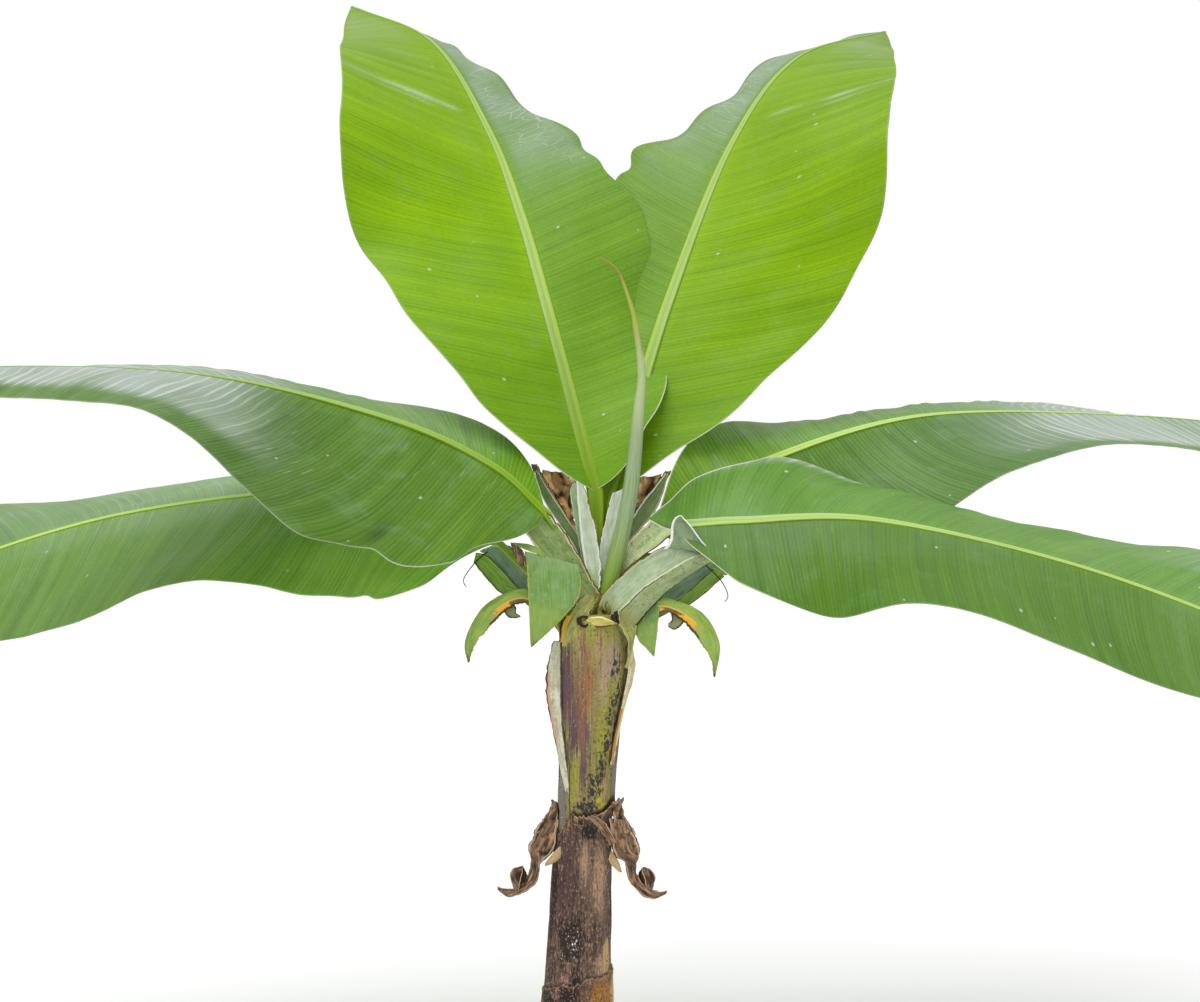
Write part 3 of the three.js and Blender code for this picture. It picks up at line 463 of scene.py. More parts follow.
        node="pseudostem", slot="stem", finish="lip", cup=-3, ragged=(0.3, 0.5), thickness=2.0,
        left=[(22, -66, 996), (32, -70, 986), (48, -73, 983), (66, -72, 986), (82, -66, 989)],
        right=[(24, -64, 998), (34, -66, 1003), (50, -69, 1004), (68, -69, 998), (84, -65, 991)]),
    "collar_left": dict(
        node="pseudostem", slot="stem", finish="collar", cup=-6, ragged=(0.8, 1.6), thickness=2.0,
        left=[(-25, -36, 944), (-21, -42, 972), (-11, -46, 1000), (6, -46, 1028), (26, -36, 1047)],
        right=[(18, -60, 946), (18, -60, 973), (22, -58, 993), (30, -50, 1012), (42, -34, 1035)]),
    "collar_right": dict(
        node="pseudostem", slot="stem", finish="collar", cup=-3, ragged=(1.6, 0.8), thickness=2.0, inner=-1,
        left=[(101, -50, 902), (105, -54, 934), (104, -56, 957), (95, -58, 977), (86, -58, 993), (86, -54, 1013)],
        right=[(105, -48, 900), (111, -46, 925), (117, -42, 955), (121, -44, 980), (121, -46, 1000),
               (117, -48, 1016)]),
    "collar_orange": dict(
        node="pseudostem", slot="stem", finish="amber", cup=-2, ragged=(1.4, 1.0), thickness=1.8,
        left=[(-31, -36, 952), (-29, -40, 976), (-25, -44, 992), (-21, -46, 1004)],
        right=[(-11, -48, 953), (-7, -50, 977), (-5, -50, 993), (-1, -50, 1007)]),
    "crown_heart": dict(
        node="pseudostem", slot="stem", finish="heart", cup=-6, ragged=(0.8, 0.8), thickness=2.0, crumple=5,
        left=[(10, -30, 972), (18, -26, 999), (30, -18, 1027), (42, -6, 1050)],
        right=[(90, -36, 972), (78, -32, 1000), (72, -26, 1023), (62, -14, 1043)]),
    "torn_curl_left": dict(
        node="pseudostem", slot="stem", finish="torn_black", cup=-0.5, ragged=(1.0, 0.6), thickness=1.4,
        left=[(26, -64, 1006), (15, -66, 1007), (5, -68, 1000), (8, -70, 988), (19, -71, 982), (27, -71, 986)],
        right=[(26, -65, 1001), (17, -67, 1001), (13, -69, 997), (14, -70, 991), (20, -71, 988), (27, -71, 991)]),
    "torn_rag_right": dict(
        node="pseudostem", slot="stem", finish="torn_black", cup=-0.5, ragged=(2.2, 2.2), thickness=1.4, crumple=2.0,
        left=[(76, -68, 996), (72, -68, 1004), (76, -68, 1011), (82, -66, 1016)],
        right=[(89, -68, 989), (88, -68, 1000), (86, -67, 1009), (85, -66, 1015)]),
    "back_stub_left": dict(
        node="stub_back_left", slot="stub", finish="channel", cup=12, ragged=(0.5, 0.5), thickness=2.4,
        left=[(-31, 50, 975), (-39, 74, 1031), (-63, 110, 1087), (-78, 136, 1119), (-82, 146, 1135)],
        right=[(26, 74, 978), (25, 100, 1030), (5, 132, 1086), (-12, 152, 1127), (-20, 156, 1141)]),
    "back_stub_right": dict(
        node="stub_back_right", slot="stub", finish="channel", cup=12, ragged=(0.5, 0.5), thickness=2.4,
        left=[(50, 74, 978), (62, 102, 1030), (83, 134, 1082), (100, 152, 1118), (108, 158, 1131)],
        right=[(107, 50, 975), (119, 76, 1031), (144, 116, 1082), (157, 138, 1110), (166, 150, 1127)]),
}

# Which edge of a sheet a band of colour follows; ALL is a band over the whole width.
INNER, OUTER, BOTH, ALL = range(4)

# What each sheet is made of. tones are its two mixed greens or browns, streak its fibres, blotch its stains and
# specks its dots with their size in mm and how rare they are. bands lie over them in turn: a colour, its edge, where
# across it starts (0 for ALL), strength, and from where to where along if it is not the whole length.
FINISHES = {
    "pale": dict(title="young sheath under wax bloom", rough=0.6, tones=("#c6d1bb", "#b3c1a6"),
                 streak=("#98aa86", 0.5),
                 bands=[("#93ac6a", ALL, 0, 0.9, -1, 0.22), ("#dde4d2", BOTH, 0.78, 0.9, 0, 2),
                        ("#a57a48", INNER, 0.97, 0.9, 0.3, 2)]),
    # A copy of pale painted lighter to offset the shade it lies in.
    "pale_lightened_for_shade": dict(title="young sheath under wax bloom, inner", rough=0.6, tones=("#e6eddf", "#d4dec8"),
                        streak=("#b4c4a2", 0.5),
                        bands=[("#a5bc7c", ALL, 0, 0.9, -1, 0.22), ("#f2f5ec", BOTH, 0.78, 0.9, 0, 2),
                               ("#a57a48", INNER, 0.97, 0.9, 0.3, 2)]),
    "sage": dict(title="shaded young sheath under wax bloom", rough=0.6, tones=("#9db08c", "#86a070"),
                 streak=("#758f60", 0.4), bands=[("#cdd6bf", BOTH, 0.92, 1)]),
    "channel": dict(title="cut stalk channel, cool green", rough=0.5, tones=("#7b9058", "#69824e"),
                    streak=("#98a87c", 0.4),
                    bands=[("#98a85e", ALL, 0, 0.8, -1, 0.25), ("#eff1e4", BOTH, 0.88, 0.95),
                           ("#b79a62", INNER, 0.98, 1)]),
    "channel_olive": dict(title="open stalk channel, olive", rough=0.5, tones=("#93a766", "#7e9853"),
                          streak=("#adbc86", 0.4), blotch=("#64803a", 0.6), specks=("#55682e", 7, 0.64),
                          bands=[("#aaac58", ALL, 0, 0.8, -1, 0.15), ("#dcdba4", BOTH, 0.9, 0.9),
                                 ("#6d4f2c", INNER, 0.965, 1)]),
    # A copy of channel_olive painted lighter to offset the shade it lies in.
    "channel_lightened_for_shade": dict(title="open stalk channel, olive, painted lighter to offset shade", rough=0.5, tones=("#cfdca8", "#bccb92"),
                          streak=("#d0dcae", 0.4), blotch=("#7f9a54", 0.6), specks=("#66803a", 7, 0.64),
                          bands=[("#c3c878", ALL, 0, 0.8, -1, 0.15), ("#f0efc8", BOTH, 0.92, 0.9),
                                 ("#6d4f2c", INNER, 0.965, 1)]),
    "channel_pale": dict(title="open stalk channel under wax bloom", rough=0.55, tones=("#a8b897", "#93a87e"),
                         streak=("#c2ccb4", 0.4), blotch=("#86a063", 0.4),
                         bands=[("#9aa56a", ALL, 0, 0.8, -1, 0.1), ("#ced4a2", BOTH, 0.93, 0.9),
                                ("#7a5a34", OUTER, 0.975, 1)]),
    "keel_pale": dict(title="pale underside of a stalk", rough=0.55, tones=("#9aa97a", "#8a9c66"),
                      streak=("#b4be98", 0.4), blotch=("#6f8248", 0.5), specks=("#4d4f2c", 5, 0.62),
                      bands=[("#8f9050", ALL, 0, 0.8, -1, 0.2), ("#5b4a34", OUTER, 0.86, 0.8, 0.1, 0.6),
                             ("#dfe3cb", BOTH, 0.96, 0.9), ("#33241c", INNER, 0.8, 1, -1, 0.6),
                             ("#3f2c22", INNER, 0.93, 1)]),
    "hood": dict(title="leaf base folded over its stalk", rough=0.5, tones=("#8b9e78", "#748b66"),
                 streak=("#8aa07c", 0.4), bands=[("#f2f4e8", BOTH, 0.88, 1)]),
    "green_cut": dict(title="cut leaf blade, waxy green", rough=0.45, tones=("#74984a", "#648c40"),
                      streak=("#8fae78", 0.4), blotch=("#93ab86", 0.4),
                      # The grey-green at the foot is a painted sheen.
                      bands=[("#8fa578", ALL, 0, 0.5, -1, 0.08), ("#93ac48", ALL, 0, 0.5, 0.5, 2),
                             ("#b5bb5a", BOTH, 0.94, 0.9, 0.1, 2), ("#6d5428", BOTH, 0.985, 1),
                             ("#5a3d22", ALL, 0, 1, 0.975, 2)]),
    "green_back": dict(title="cut leaf blade, bright green", rough=0.45, tones=("#86ad3e", "#79a238"),
                       streak=("#9dba68", 0.4), bands=[("#4a3a1e", BOTH, 0.96, 1)]),
    "blue_cut": dict(title="cut leaf blade in bluish bloom", rough=0.5, tones=("#8aa48e", "#749274"),
                     streak=("#97b096", 0.4), bands=[("#c9d5b6", BOTH, 0.94, 1)]),
    "hook": dict(title="bent cut stalk, green", rough=0.45, tones=("#98b648", "#86a742"), streak=("#aec47a", 0.4),
                 blotch=("#9aae7c", 0.4), specks=("#5d7a30", 5, 0.66),
                 bands=[("#b7c46a", OUTER, 0.9, 0.8), ("#a9ac50", INNER, -0.2, 0.8, 0.3, 0.6),
                        ("#d8c25c", INNER, 0.1, 0.9, 0.04, 0.56), ("#e6ac2e", INNER, 0.5, 0.9, 0.1, 0.32),
                        ("#efb428", INNER, 0.2, 0.9, 0.46, 0.56), ("#7c5a34", INNER, 0.3, 0.95, 0.3, 0.44),
                        ("#5f3f22", INNER, 0.74, 1, 0.02, 0.7), ("#5e6a2a", BOTH, 0.95, 0.8, 0.5, 2),
                        ("#43301c", ALL, 0, 1, 0.965, 2)]),
    "withered_green": dict(title="withered green tissue", rough=0.6, tones=("#8c9a6e", "#7a8a58"),
                           streak=("#6d7448", 0.4), bands=[("#4a3422", BOTH, 0.78, 1)]),
    "withered": dict(title="withered stalk margin, olive and straw", rough=0.7, tones=("#8a8a52", "#6f7440"),
                     streak=("#54491f", 0.5), bands=[("#c9c08a", BOTH, 0.78, 1), ("#5a4024", BOTH, 0.94, 1)]),
    "paper": dict(title="papery sheath margin, cream", rough=0.75, tones=("#dadbc2", "#c4c5a6"),
                  streak=("#a09484", 0.5), blotch=("#a88c74", 0.6), specks=("#6a5444", 4, 0.64),
                  bands=[("#cf9f80", OUTER, 0.35, 0.9, 0.3, 0.8), ("#5b3a2a", OUTER, 0.7, 1, 0.1, 2),
                         ("#4a3a32", INNER, 0.86, 0.9)]),
    "paper_gold": dict(title="papery sheath margin, cream and gold", rough=0.75, tones=("#ece2bc", "#d8cea2"),
                       streak=("#a08c64", 0.5), blotch=("#a88c74", 0.5), specks=("#5a4634", 4, 0.64),
                       bands=[("#b9822e", INNER, 0.35, 0.95, 0.02, 0.48), ("#8a6a3a", OUTER, 0.6, 0.7, 0.1, 0.7),
                              ("#5b3a2a", OUTER, 0.88, 1), ("#4a2f20", INNER, 0.86, 1)]),
    "dry": dict(title="dry sheath fibre, brown", rough=0.85, tones=("#7a614c", "#523e31"), streak=("#b0947a", 0.55),
                # The pale band inside both rims is a painted highlight on the curled rims.
                blotch=("#33251f", 0.8), bands=[("#d2b48e", BOTH, 0.8, 0.8), ("#2c1f19", BOTH, 0.92, 1)]),
    # Its tones are painted much lighter to offset the shade the back remnants lie in.
    "dry_lightened_for_shade": dict(title="dry sheath fibre, chestnut, painted lighter to offset shade", rough=0.85, tones=("#e8bd90", "#bf9268"),
                     streak=("#f0d4ae", 0.5), blotch=("#7d5a40", 0.8), bands=[("#4a3528", BOTH, 0.95, 1)]),
    "dry_dark": dict(title="dry sheath fibre, dark", rough=0.9, tones=("#3f322a", "#2e241f"),
                     streak=("#5a4838", 0.5)),
    "torn_black": dict(title="dry sheath fibre, black", rough=0.9, tones=("#2a211c", "#1e1815"),
                       streak=("#463828", 0.5)),
    "lip": dict(title="folded sheath rim, yellow-green", rough=0.55, tones=("#bcb860", "#aaa650"),
                streak=("#cfcc84", 0.4), blotch=("#b48a4a", 0.6), specks=("#6a5a2c", 5, 0.66),
                bands=[("#e6e0a6", INNER, 0.7, 0.9), ("#6b3f24", OUTER, 0.72, 1)]),
    "straw": dict(title="dry sheath fibre, straw", rough=0.8, tones=("#c2ab80", "#a98f66"), streak=("#8a7050", 0.4),
                  bands=[("#6a5038", BOTH, 0.9, 1)]),
    "collar": dict(title="torn green sheath rim", rough=0.55, tones=("#a3a25a", "#87874a"), streak=("#c6c47c", 0.4),
                   blotch=("#7d7c34", 0.6), specks=("#4a4420", 6, 0.64),
                   bands=[("#d2cf90", BOTH, 0.88, 0.9), ("#3a2a1c", INNER, 0.965, 1)]),
    "heart": dict(title="torn sheaths at the crown, olive", rough=0.7, tones=("#7d7a34", "#5c5c28"),
                  streak=("#9c9a50", 0.5), blotch=("#3f3220", 0.8), specks=("#2c2418", 6, 0.6)),
    "amber": dict(title="dying sheath rim, amber", rough=0.6, tones=("#e6b02c", "#cf9a2c"), streak=("#9a6a2a", 0.6),
                  bands=[("#2c1d16", OUTER, 0.62, 1)]),
}


# ---------------------------------------------------------------- properties

class BananaPlantSizes(bpy.types.PropertyGroup):
    blade: bpy.props.FloatProperty(
        name="Blade", description="Thickness of a leaf blade", default=1.4 * MM, unit="LENGTH")
    pleat: bpy.props.FloatProperty(
        name="Pleat spacing", description="Distance between the broad pleats of a leaf", default=52 * MM,
        unit="LENGTH")
    pleat_height: bpy.props.FloatProperty(
        name="Pleat height", description="Height of the pleats", default=1.0 * MM, unit="LENGTH")
    wave: bpy.props.FloatProperty(
        name="Margin wave", description="Height of the waves along the margins", default=8 * MM, unit="LENGTH")
    vein: bpy.props.FloatProperty(
        name="Vein spacing", description="Distance between the side veins", default=8.6 * MM, unit="LENGTH")
    fibre: bpy.props.FloatProperty(
        name="Fibre relief", description="Height of the fibres on the stem", default=0.6 * MM, unit="LENGTH")


class BananaPlantColours(bpy.types.PropertyGroup):
    new_leaf: bpy.props.FloatVectorProperty(
        name="New leaf", description="The rolled leaf", subtype="COLOR", size=4, min=0, max=1,
        default=colour("#93a87e"))
    # The colour of the painted whitish sheen laid over the leaves' wax.
    wax: bpy.props.FloatVectorProperty(
        name="Wax", description="The bloom that whitens the leaves", subtype="COLOR", size=4, min=0, max=1,
        default=colour("#b0bab4"))
    living_sheath: bpy.props.FloatVectorProperty(
        name="Living sheath", description="The upper stem", subtype="COLOR", size=4, min=0, max=1,
        default=colour("#948a50"))
    dead_sheath: bpy.props.FloatVectorProperty(
        name="Dead sheath", description="The foot of the stem", subtype="COLOR", size=4, min=0, max=1,
        default=colour("#6f594c"))


# ---------------------------------------------------------------- courses and meshes

def smooth(values, t):
    """A smooth course through values or points, at t from 0 to 1."""
    p = np.asarray(values, float)
    p = p[:, None] if p.ndim == 1 else p
    p = np.vstack([2 * p[0] - p[1], p, 2 * p[-1] - p[-2]])
    x = np.clip(np.asarray(t, float), 0, 1) * (len(p) - 3)
    i = np.minimum(x.astype(int), len(p) - 4)
    w = (x - i)[..., None]
    a, b = p[i + 1], p[i + 2]
    ta, tb = (b - p[i]) / 2, (p[i + 3] - a) / 2
    out = (2 * a - 2 * b + ta + tb) * w ** 3 + (3 * b - 3 * a - 2 * ta - tb) * w ** 2 + ta * w + a
    return out[..., 0] if np.ndim(values[0]) == 0 else out


def unit(v):
    """Vectors at length 1."""
    return v / np.linalg.norm(v, axis=-1, keepdims=True)


def ease(a, b, x):
    """Goes smoothly from 0 at a to 1 at b."""
    x = np.clip((x - a) / (b - a), 0, 1)
    return x * x * (3 - 2 * x)


def hump(*offsets):
    """A smooth hump 1 high, from how far off its middle a place is and its half width, in each direction."""
    return np.exp(-sum((off / wide) ** 2 for off, wide in offsets))


def field(seed, *axes):
    """A smooth random surface mostly between -1 and 1, with a hill to about every three units of its axes."""
    rng = np.random.default_rng(seed)
    waves, pace, height = 16, 2.2, 5
    total = 0
    for _ in range(waves):
        total = total + np.sin(sum(rng.normal() * pace * a for a in axes) + rng.uniform(0, 2 * np.pi))
    return total / height


class Course:
    """A line through close points in mm, measured along its length."""

    def __init__(self, spots):
        self.spots = np.asarray(spots, float)
        self.marks = np.concatenate([[0], np.cumsum(np.linalg.norm(np.diff(self.spots, axis=0), axis=1))])
        self.length = self.marks[-1]

    def at(self, t):
        s = np.clip(t, 0, 1) * self.length
        return np.stack([np.interp(s, self.marks, self.spots[:, k]) for k in range(3)], -1)

    def along(self, t, step=0.006):
        return unit(self.at(np.asarray(t) + step) - self.at(np.asarray(t) - step))


def course(points):
    """The smooth course through a few points."""
    return Course(smooth(points, np.linspace(0, 1, COURSE_POINTS)))


def pick(piece):
    """Selects one piece alone, ready for an operator."""
    bpy.ops.object.select_all(action="DESELECT")
    piece.select_set(True)
    bpy.context.view_layer.objects.active = piece


def add_grid(name, across, along, place):
    """A grid primitive whose corners place(t, x) lays out in mm, t along and x across from 0 to 1.

    place also gives the UV map "metres" in mm, the UV map "shares", and masks that the material reads by name.
    """
    bpy.ops.object.select_all(action="DESELECT")
    bpy.ops.mesh.primitive_grid_add(x_subdivisions=across, y_subdivisions=along, size=1, location=(0, 0, 0))
    piece = bpy.context.object
    piece.name = piece.data.name = name
    mesh = piece.data
    flat = np.empty(len(mesh.vertices) * 3)
    mesh.vertices.foreach_get("co", flat)
    flat = flat.reshape(-1, 3)
    spots, metres, shares, masks = place(np.clip(flat[:, 1] + 0.5, 0, 1), np.clip(flat[:, 0] + 0.5, 0, 1))
    mesh.vertices.foreach_set("co", (spots * MM).ravel())
    corners = np.empty(len(mesh.loops), int)
    mesh.loops.foreach_get("vertex_index", corners)
    mesh.uv_layers[0].name = "metres"
    mesh.uv_layers["metres"].uv.foreach_set("vector", (metres * MM)[corners].ravel())
    mesh.uv_layers.new(name="shares")
    mesh.uv_layers["shares"].uv.foreach_set("vector", shares[corners].ravel())
    for mask, values in masks.items():
        mesh.attributes.new(mask, "FLOAT", "POINT").data.foreach_set("value", values)
    mesh.update()
    return piece


def close_seams(piece):
    """Joins the edges of a rolled grid and turns its faces outwards."""
    pick(piece)
    bpy.ops.object.mode_set(mode="EDIT")
    bpy.ops.mesh.select_all(action="SELECT")
    bpy.ops.mesh.remove_doubles(threshold=SEAM_GAP * MM)
    bpy.ops.mesh.normals_make_consistent(inside=False)
    bpy.ops.object.mode_set(mode="OBJECT")


def thicken(piece, thickness, offset=0.0, other_side=0):
    """Gives a sheet its thickness; other_side moves its back to another material."""
    modifier = piece.modifiers.new("Thickness", "SOLIDIFY")
    modifier.thickness = thickness
    modifier.offset = offset
    modifier.material_offset = other_side
    pick(piece)
    bpy.ops.object.modifier_apply(modifier=modifier.name)


def finish_piece(piece, slot, nodes, *materials):
    """Gives a piece its materials, smooth shading and its body, and hides the CAD nodes it stands for; slot is not
    used.
    """
    for material in materials:
        piece.data.materials.append(material)
    pick(piece)
    bpy.ops.object.shade_smooth()
    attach(piece, "root")
    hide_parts(*nodes)


def tube(name, line, radius, grid):
    """A round closed tube along a course; radius(t, angle) is in mm, and grid its faces round and along."""
    def place(t, x):
        along = line.along(t)
        side = unit(np.cross(along, np.array([0.0, 1.0, 0.02])))
        up = np.cross(side, along)
        angle = 2 * np.pi * x
        r = radius(t, angle) * ease(0, 0.004, t) * (1 - ease(0.996, 1, t))
        spot = line.at(t) + side * (r * np.sin(angle))[:, None] - up * (r * np.cos(angle))[:, None]
        return (spot, np.stack([t * line.length, r * angle], -1), np.stack([t, x], -1),
                {"ridge": np.full_like(t, 0.5)})

    piece = add_grid(name, *grid, place)
    close_seams(piece)
    return piece


# ---------------------------------------------------------------- materials

def add(tree, kind, inputs=None, out=0, stops=(), **values):
    """Adds a node with its settings, values, links and colour stops, and gives one of its outputs."""
    node = tree.nodes.new("ShaderNode" + kind)
    for key, value in values.items():
        setattr(node, key, value)
    for key, value in (inputs or {}).items():
        if isinstance(value, bpy.types.NodeSocket):
            tree.links.new(value, node.inputs[key])
        else:
            node.inputs[key].default_value = value
    for i, (place, code) in enumerate(stops):
        stop = node.color_ramp.elements[i] if i < 2 else node.color_ramp.elements.new(place)
        stop.position, stop.color = place, colour(code)
    return node.outputs[out]


def open_material(name, roughness, specular=0.5):
    """A new material with its tree, its shader and the piece's two UV maps; no tree if it was made before."""
    material = bpy.data.materials.get(name)
    if material:
        return material, None, None, None, None
    material = bpy.data.materials.new(name)
    material.use_nodes = True
    tree = material.node_tree
    shader = tree.nodes["Principled BSDF"]
    shader.inputs["Roughness"].default_value = roughness
    shader.inputs["Specular IOR Level"].default_value = specular
    return material, tree, shader, add(tree, "UVMap", uv_map="metres"), add(tree, "UVMap", uv_map="shares")


def coats(tree, tone, *layers):
    """Lays coats over a tone, each where a value goes from low to high, up to a strength.

    A hex colour or a socket covers what is under it; three numbers darken or lighten it.
    """
    for over, value, low, high, strength in layers:
        mask = add(tree, "MapRange", {"Value": value, "From Min": low, "From Max": high, "To Max": strength},
                   interpolation_type="SMOOTHSTEP")
        blend = "MULTIPLY" if isinstance(over, tuple) else "MIX"
        over = (*over, 1) if blend == "MULTIPLY" else colour(over) if isinstance(over, str) else over
        tone = add(tree, "Mix", {0: mask, 6: tone, 7: over}, 2, data_type="RGBA", blend_type=blend)
    return tone


def weigh(tree, *parts):
    """The sum of values, each times its weight."""
    total = 0.0
    for value, weight in parts:
        total = add(tree, "Math", {0: value, 1: weight, 2: total}, operation="MULTIPLY_ADD")
    return total


def grain(tree, where, counts, detail=2.0, roughness=0.5, swirl=0.0):
    """A noise pattern with its counts for each metre along the three axes."""
    spot = add(tree, "Mapping", {"Vector": where, "Scale": counts})
    return add(tree, "TexNoise", {"Vector": spot, "Scale": 1.0, "Detail": detail, "Roughness": roughness,
                                  "Distortion": swirl})


def paint(tree, shader, tone, height, depth):
    """Gives the shader its tone, and bumps it by a height pattern of the depth given in mm."""
    tree.links.new(tone, shader.inputs["Base Color"])
    bump = add(tree, "Bump", {"Height": height, "Strength": 1.0, "Distance": depth * MM})
    tree.links.new(bump, shader.inputs["Normal"])


def leaf_material(name, leaf, under=False):
    """Living banana blade: waxy, so it shines softly, and a painted whitish sheen lies where it turns to the sky.

    Its side veins run from the rib, with ridges of a few veins each that are painted darker and lighter as painted
    shade and highlight; the painted sheen is whitest along some of them.
    """
    side = "underside" if under else "upper side"
    material, tree, shader, metres, shares = open_material(
        f"waxy leaf blade, {name.replace('_', ' ')}, {side}", 0.48 if under else 0.42, leaf["gloss"])
    if tree is None:
        return material
    place = add(tree, "SeparateXYZ", {0: shares}, 0)
    signed = place.node.outputs["Y"]
    across = add(tree, "Math", {0: signed}, operation="ABSOLUTE")
    left, right = (add(tree, "ValToRGB", {0: place}, stops=list(zip((0.06, 0.45, 0.92), leaf[half]["tones"])))
                   for half in ("left", "right"))
    tone = coats(tree, left, (right, signed, -0.02, 0.02, 1))
    if under:
        # A paler green over all of it.
        tone = coats(tree, tone, ("#93a877", place, -2, -1, 0.45))
    line = add(tree, "TexWave", {"Vector": metres, "Scale": WAVE_STEP / bpy.context.scene.banana_plant_sizes.vein,
                                 "Distortion": 1.6, "Detail": 2.0, "Detail Scale": 0.3}, 1, bands_direction="X")
    # The counts of a pattern are those across the veins and along them.
    group = grain(tree, metres, (55, 2, 1), 2)
    fine = grain(tree, metres, (210, 1.6, 1), 4, 0.6)
    lines = leaf["lines"]
    # How pale each place is along the veins.
    vein = weigh(tree, (line, lines), (-0.5, lines), (group, 1.3), (-0.5, 1.3), (fine, 1.9), (-0.5, 1.9))
    ridge = grain(tree, metres, (42, 1.6, 1), 1)
    cloud = grain(tree, metres, (6, 5, 1))
    haze = grain(tree, metres, (8, 10, 1), 5, 0.65, 0.4)
    mottle = grain(tree, metres, (330, 110, 1), 3, 0.6)
    scratch = grain(tree, metres, (170, 11, 1), 3, 0.6)
    pleat = leaf["pleat"]
    tone = coats(
        tree, tone, ((0.82, 0.86, 0.75), cloud, 0.48, 0.7, 0.6), ((1.12, 1.08, 1.1), cloud, 0.45, 0.3, 0.6),
        # The pleats' ridges are painted darker and lighter by turns: painted shade and highlight on the pleats.
        ((0.74, 0.8, 0.7), ridge, 0.52, 0.68, 0.4 * pleat + 0.1),
        ((1.2, 1.14, 1.25), ridge, 0.46, 0.32, 0.3 * pleat + 0.1),
        ((0.68, 0.76, 0.62), vein, 0.02, -0.5, 0.55 + 0.3 * lines), ((1.3, 1.18, 1.4), vein, 0.1, 0.5, 0.7),
        ((0.82, 0.88, 0.76), mottle, 0.5, 0.72, 0.8), ((1.18, 1.12, 1.3), mottle, 0.5, 0.28, 0.8),
        ("#87ae88", haze, 0.5, 0.74, 0.22 * pleat), ("#b4cca0", scratch, 0.64, 0.74, 0.35 * pleat),
        ((1.2, 1.12, 0.9), across, 0.12, 0.02, 0.8))
    bloom, streak, rim, shaded_dent = (add(tree, "Attribute", attribute_name=key, out=2)
                                for key in ("bloom", "streak", "rim", "shaded_dent"))
    if lines < 0.35:
        # A net of creases, about 16 mm apart across the veins and 77 mm along them.
        net = add(tree, "TexVoronoi", {"Vector": add(tree, "Mapping", {"Vector": metres, "Scale": (64, 13, 1)}),
                                       "Scale": 1.0}, feature="DISTANCE_TO_EDGE")
        crease = add(tree, "MapRange", {"Value": net, "From Min": 0.12, "From Max": 0.0})
    else:
        # Creases along the veins, about 24 mm apart.
        crease = add(tree, "TexWave", {"Vector": metres, "Scale": WAVE_STEP / (24 * MM), "Distortion": 7.0,
                                       "Detail": 2.0, "Detail Scale": 0.3}, 1, bands_direction="X")
    # They are painted as whitish sheen lines within the painted sheen, on the ridges.
    raised = weigh(tree, (crease, 1), (ridge, 0.6), (cloud, 0.8))
    crease = add(tree, "Math", {0: add(tree, "MapRange", {"Value": bloom, "From Min": 0.1, "From Max": 0.6}),
                                1: add(tree, "MapRange", {"Value": raised, "From Min": 1.4, "From Max": 1.8})},
                 operation="MULTIPLY")
    # Wax marks of up to 7 by 9 mm.
    dots = add(tree, "TexVoronoi", {"Vector": add(tree, "Mapping", {"Vector": metres, "Scale": (20, 14, 1)}),
                                    "Scale": 1.0})
    marks = add(tree, "Math", {0: add(tree, "MapRange", {"Value": dots, "From Min": 0.075, "From Max": 0.04}),
                               1: dots.node.outputs["Color"]}, operation="MULTIPLY")
    scuff = grain(tree, metres, (150, 60, 1), 5, 0.7)
    wax = add(tree, "RGB")
    wax.default_value = tuple(bpy.context.scene.banana_plant_colours.wax)
    # Painted sheen and its lines, painted reflections on creases, painted shade in dents, then marks, scuffs and rim.
    tone = coats(tree, tone, (wax, bloom, 0, 1, 0.92),
                 ("#d8e0d6", crease, 0, 1, 0.55), ("#b4c6b4", streak, 0, 1, 1), ((0.55, 0.58, 0.6), shaded_dent, 0, 1, 1),
                 ("#b9c8ae", marks, 0.25, 0.5, 0.75), ("#a9bc96", scuff, 0.66, 0.72, 0.3),
                 ("#d5dcc0", rim, 0, 1, 0.9))
    paint(tree, shader, tone, weigh(tree, (line, 0.4 * lines), (fine, 0.5), (group, 0.7), (ridge, 1.2 * pleat)), 1.2)
    return material


def rib_material(name, leaf):
    """Living rib and stalk: smooth and pale, with fibres drawn 3 mm apart so that they show.

    Painted light and shade lie across its shoulders, channel and flanks.
    """
    material, tree, shader, metres, shares = open_material(f"smooth leaf rib, {name.replace('_', ' ')}", 0.45, 0.3)
    if tree is None:
        return material
    fibre = grain(tree, metres, (4, 330, 1))
    along = add(tree, "SeparateXYZ", {0: shares}, 0)
    edge, sunny = (add(tree, "Attribute", attribute_name=key, out=2) for key in ("edge", "sunny"))
    tone = add(tree, "ValToRGB", {0: along}, stops=list(zip((0.03, 0.3), leaf["rib_tones"])))
    # One shoulder is painted yellower as the lit side and the other greyer, and the channel between them is darker
    # with painted shade.
    groove = add(tree, "Math", {0: sunny}, operation="ABSOLUTE")
    tone = coats(tree, tone, ((0.98, 1.0, 0.5), sunny, 0.3, 0.6, 0.8), ((0.94, 0.98, 1.25), sunny, -0.4, -0.7, 0.8),
                 ((0.7, 0.8, 0.6), groove, 0.3, 0.1, 0.6))
    tone = coats(tree, tone, ((0.82, 0.86, 0.7), fibre, 0.45, 0.7, 0.5), ((1.15, 1.1, 1.3), fibre, 0.4, 0.2, 0.5),
                 # The flanks and the round keel below are painted darker: painted shade.
                 ((0.62, 0.7, 0.5), edge, 0, 1, 1))
    paint(tree, shader, tone, fibre, 0.4)
    return material


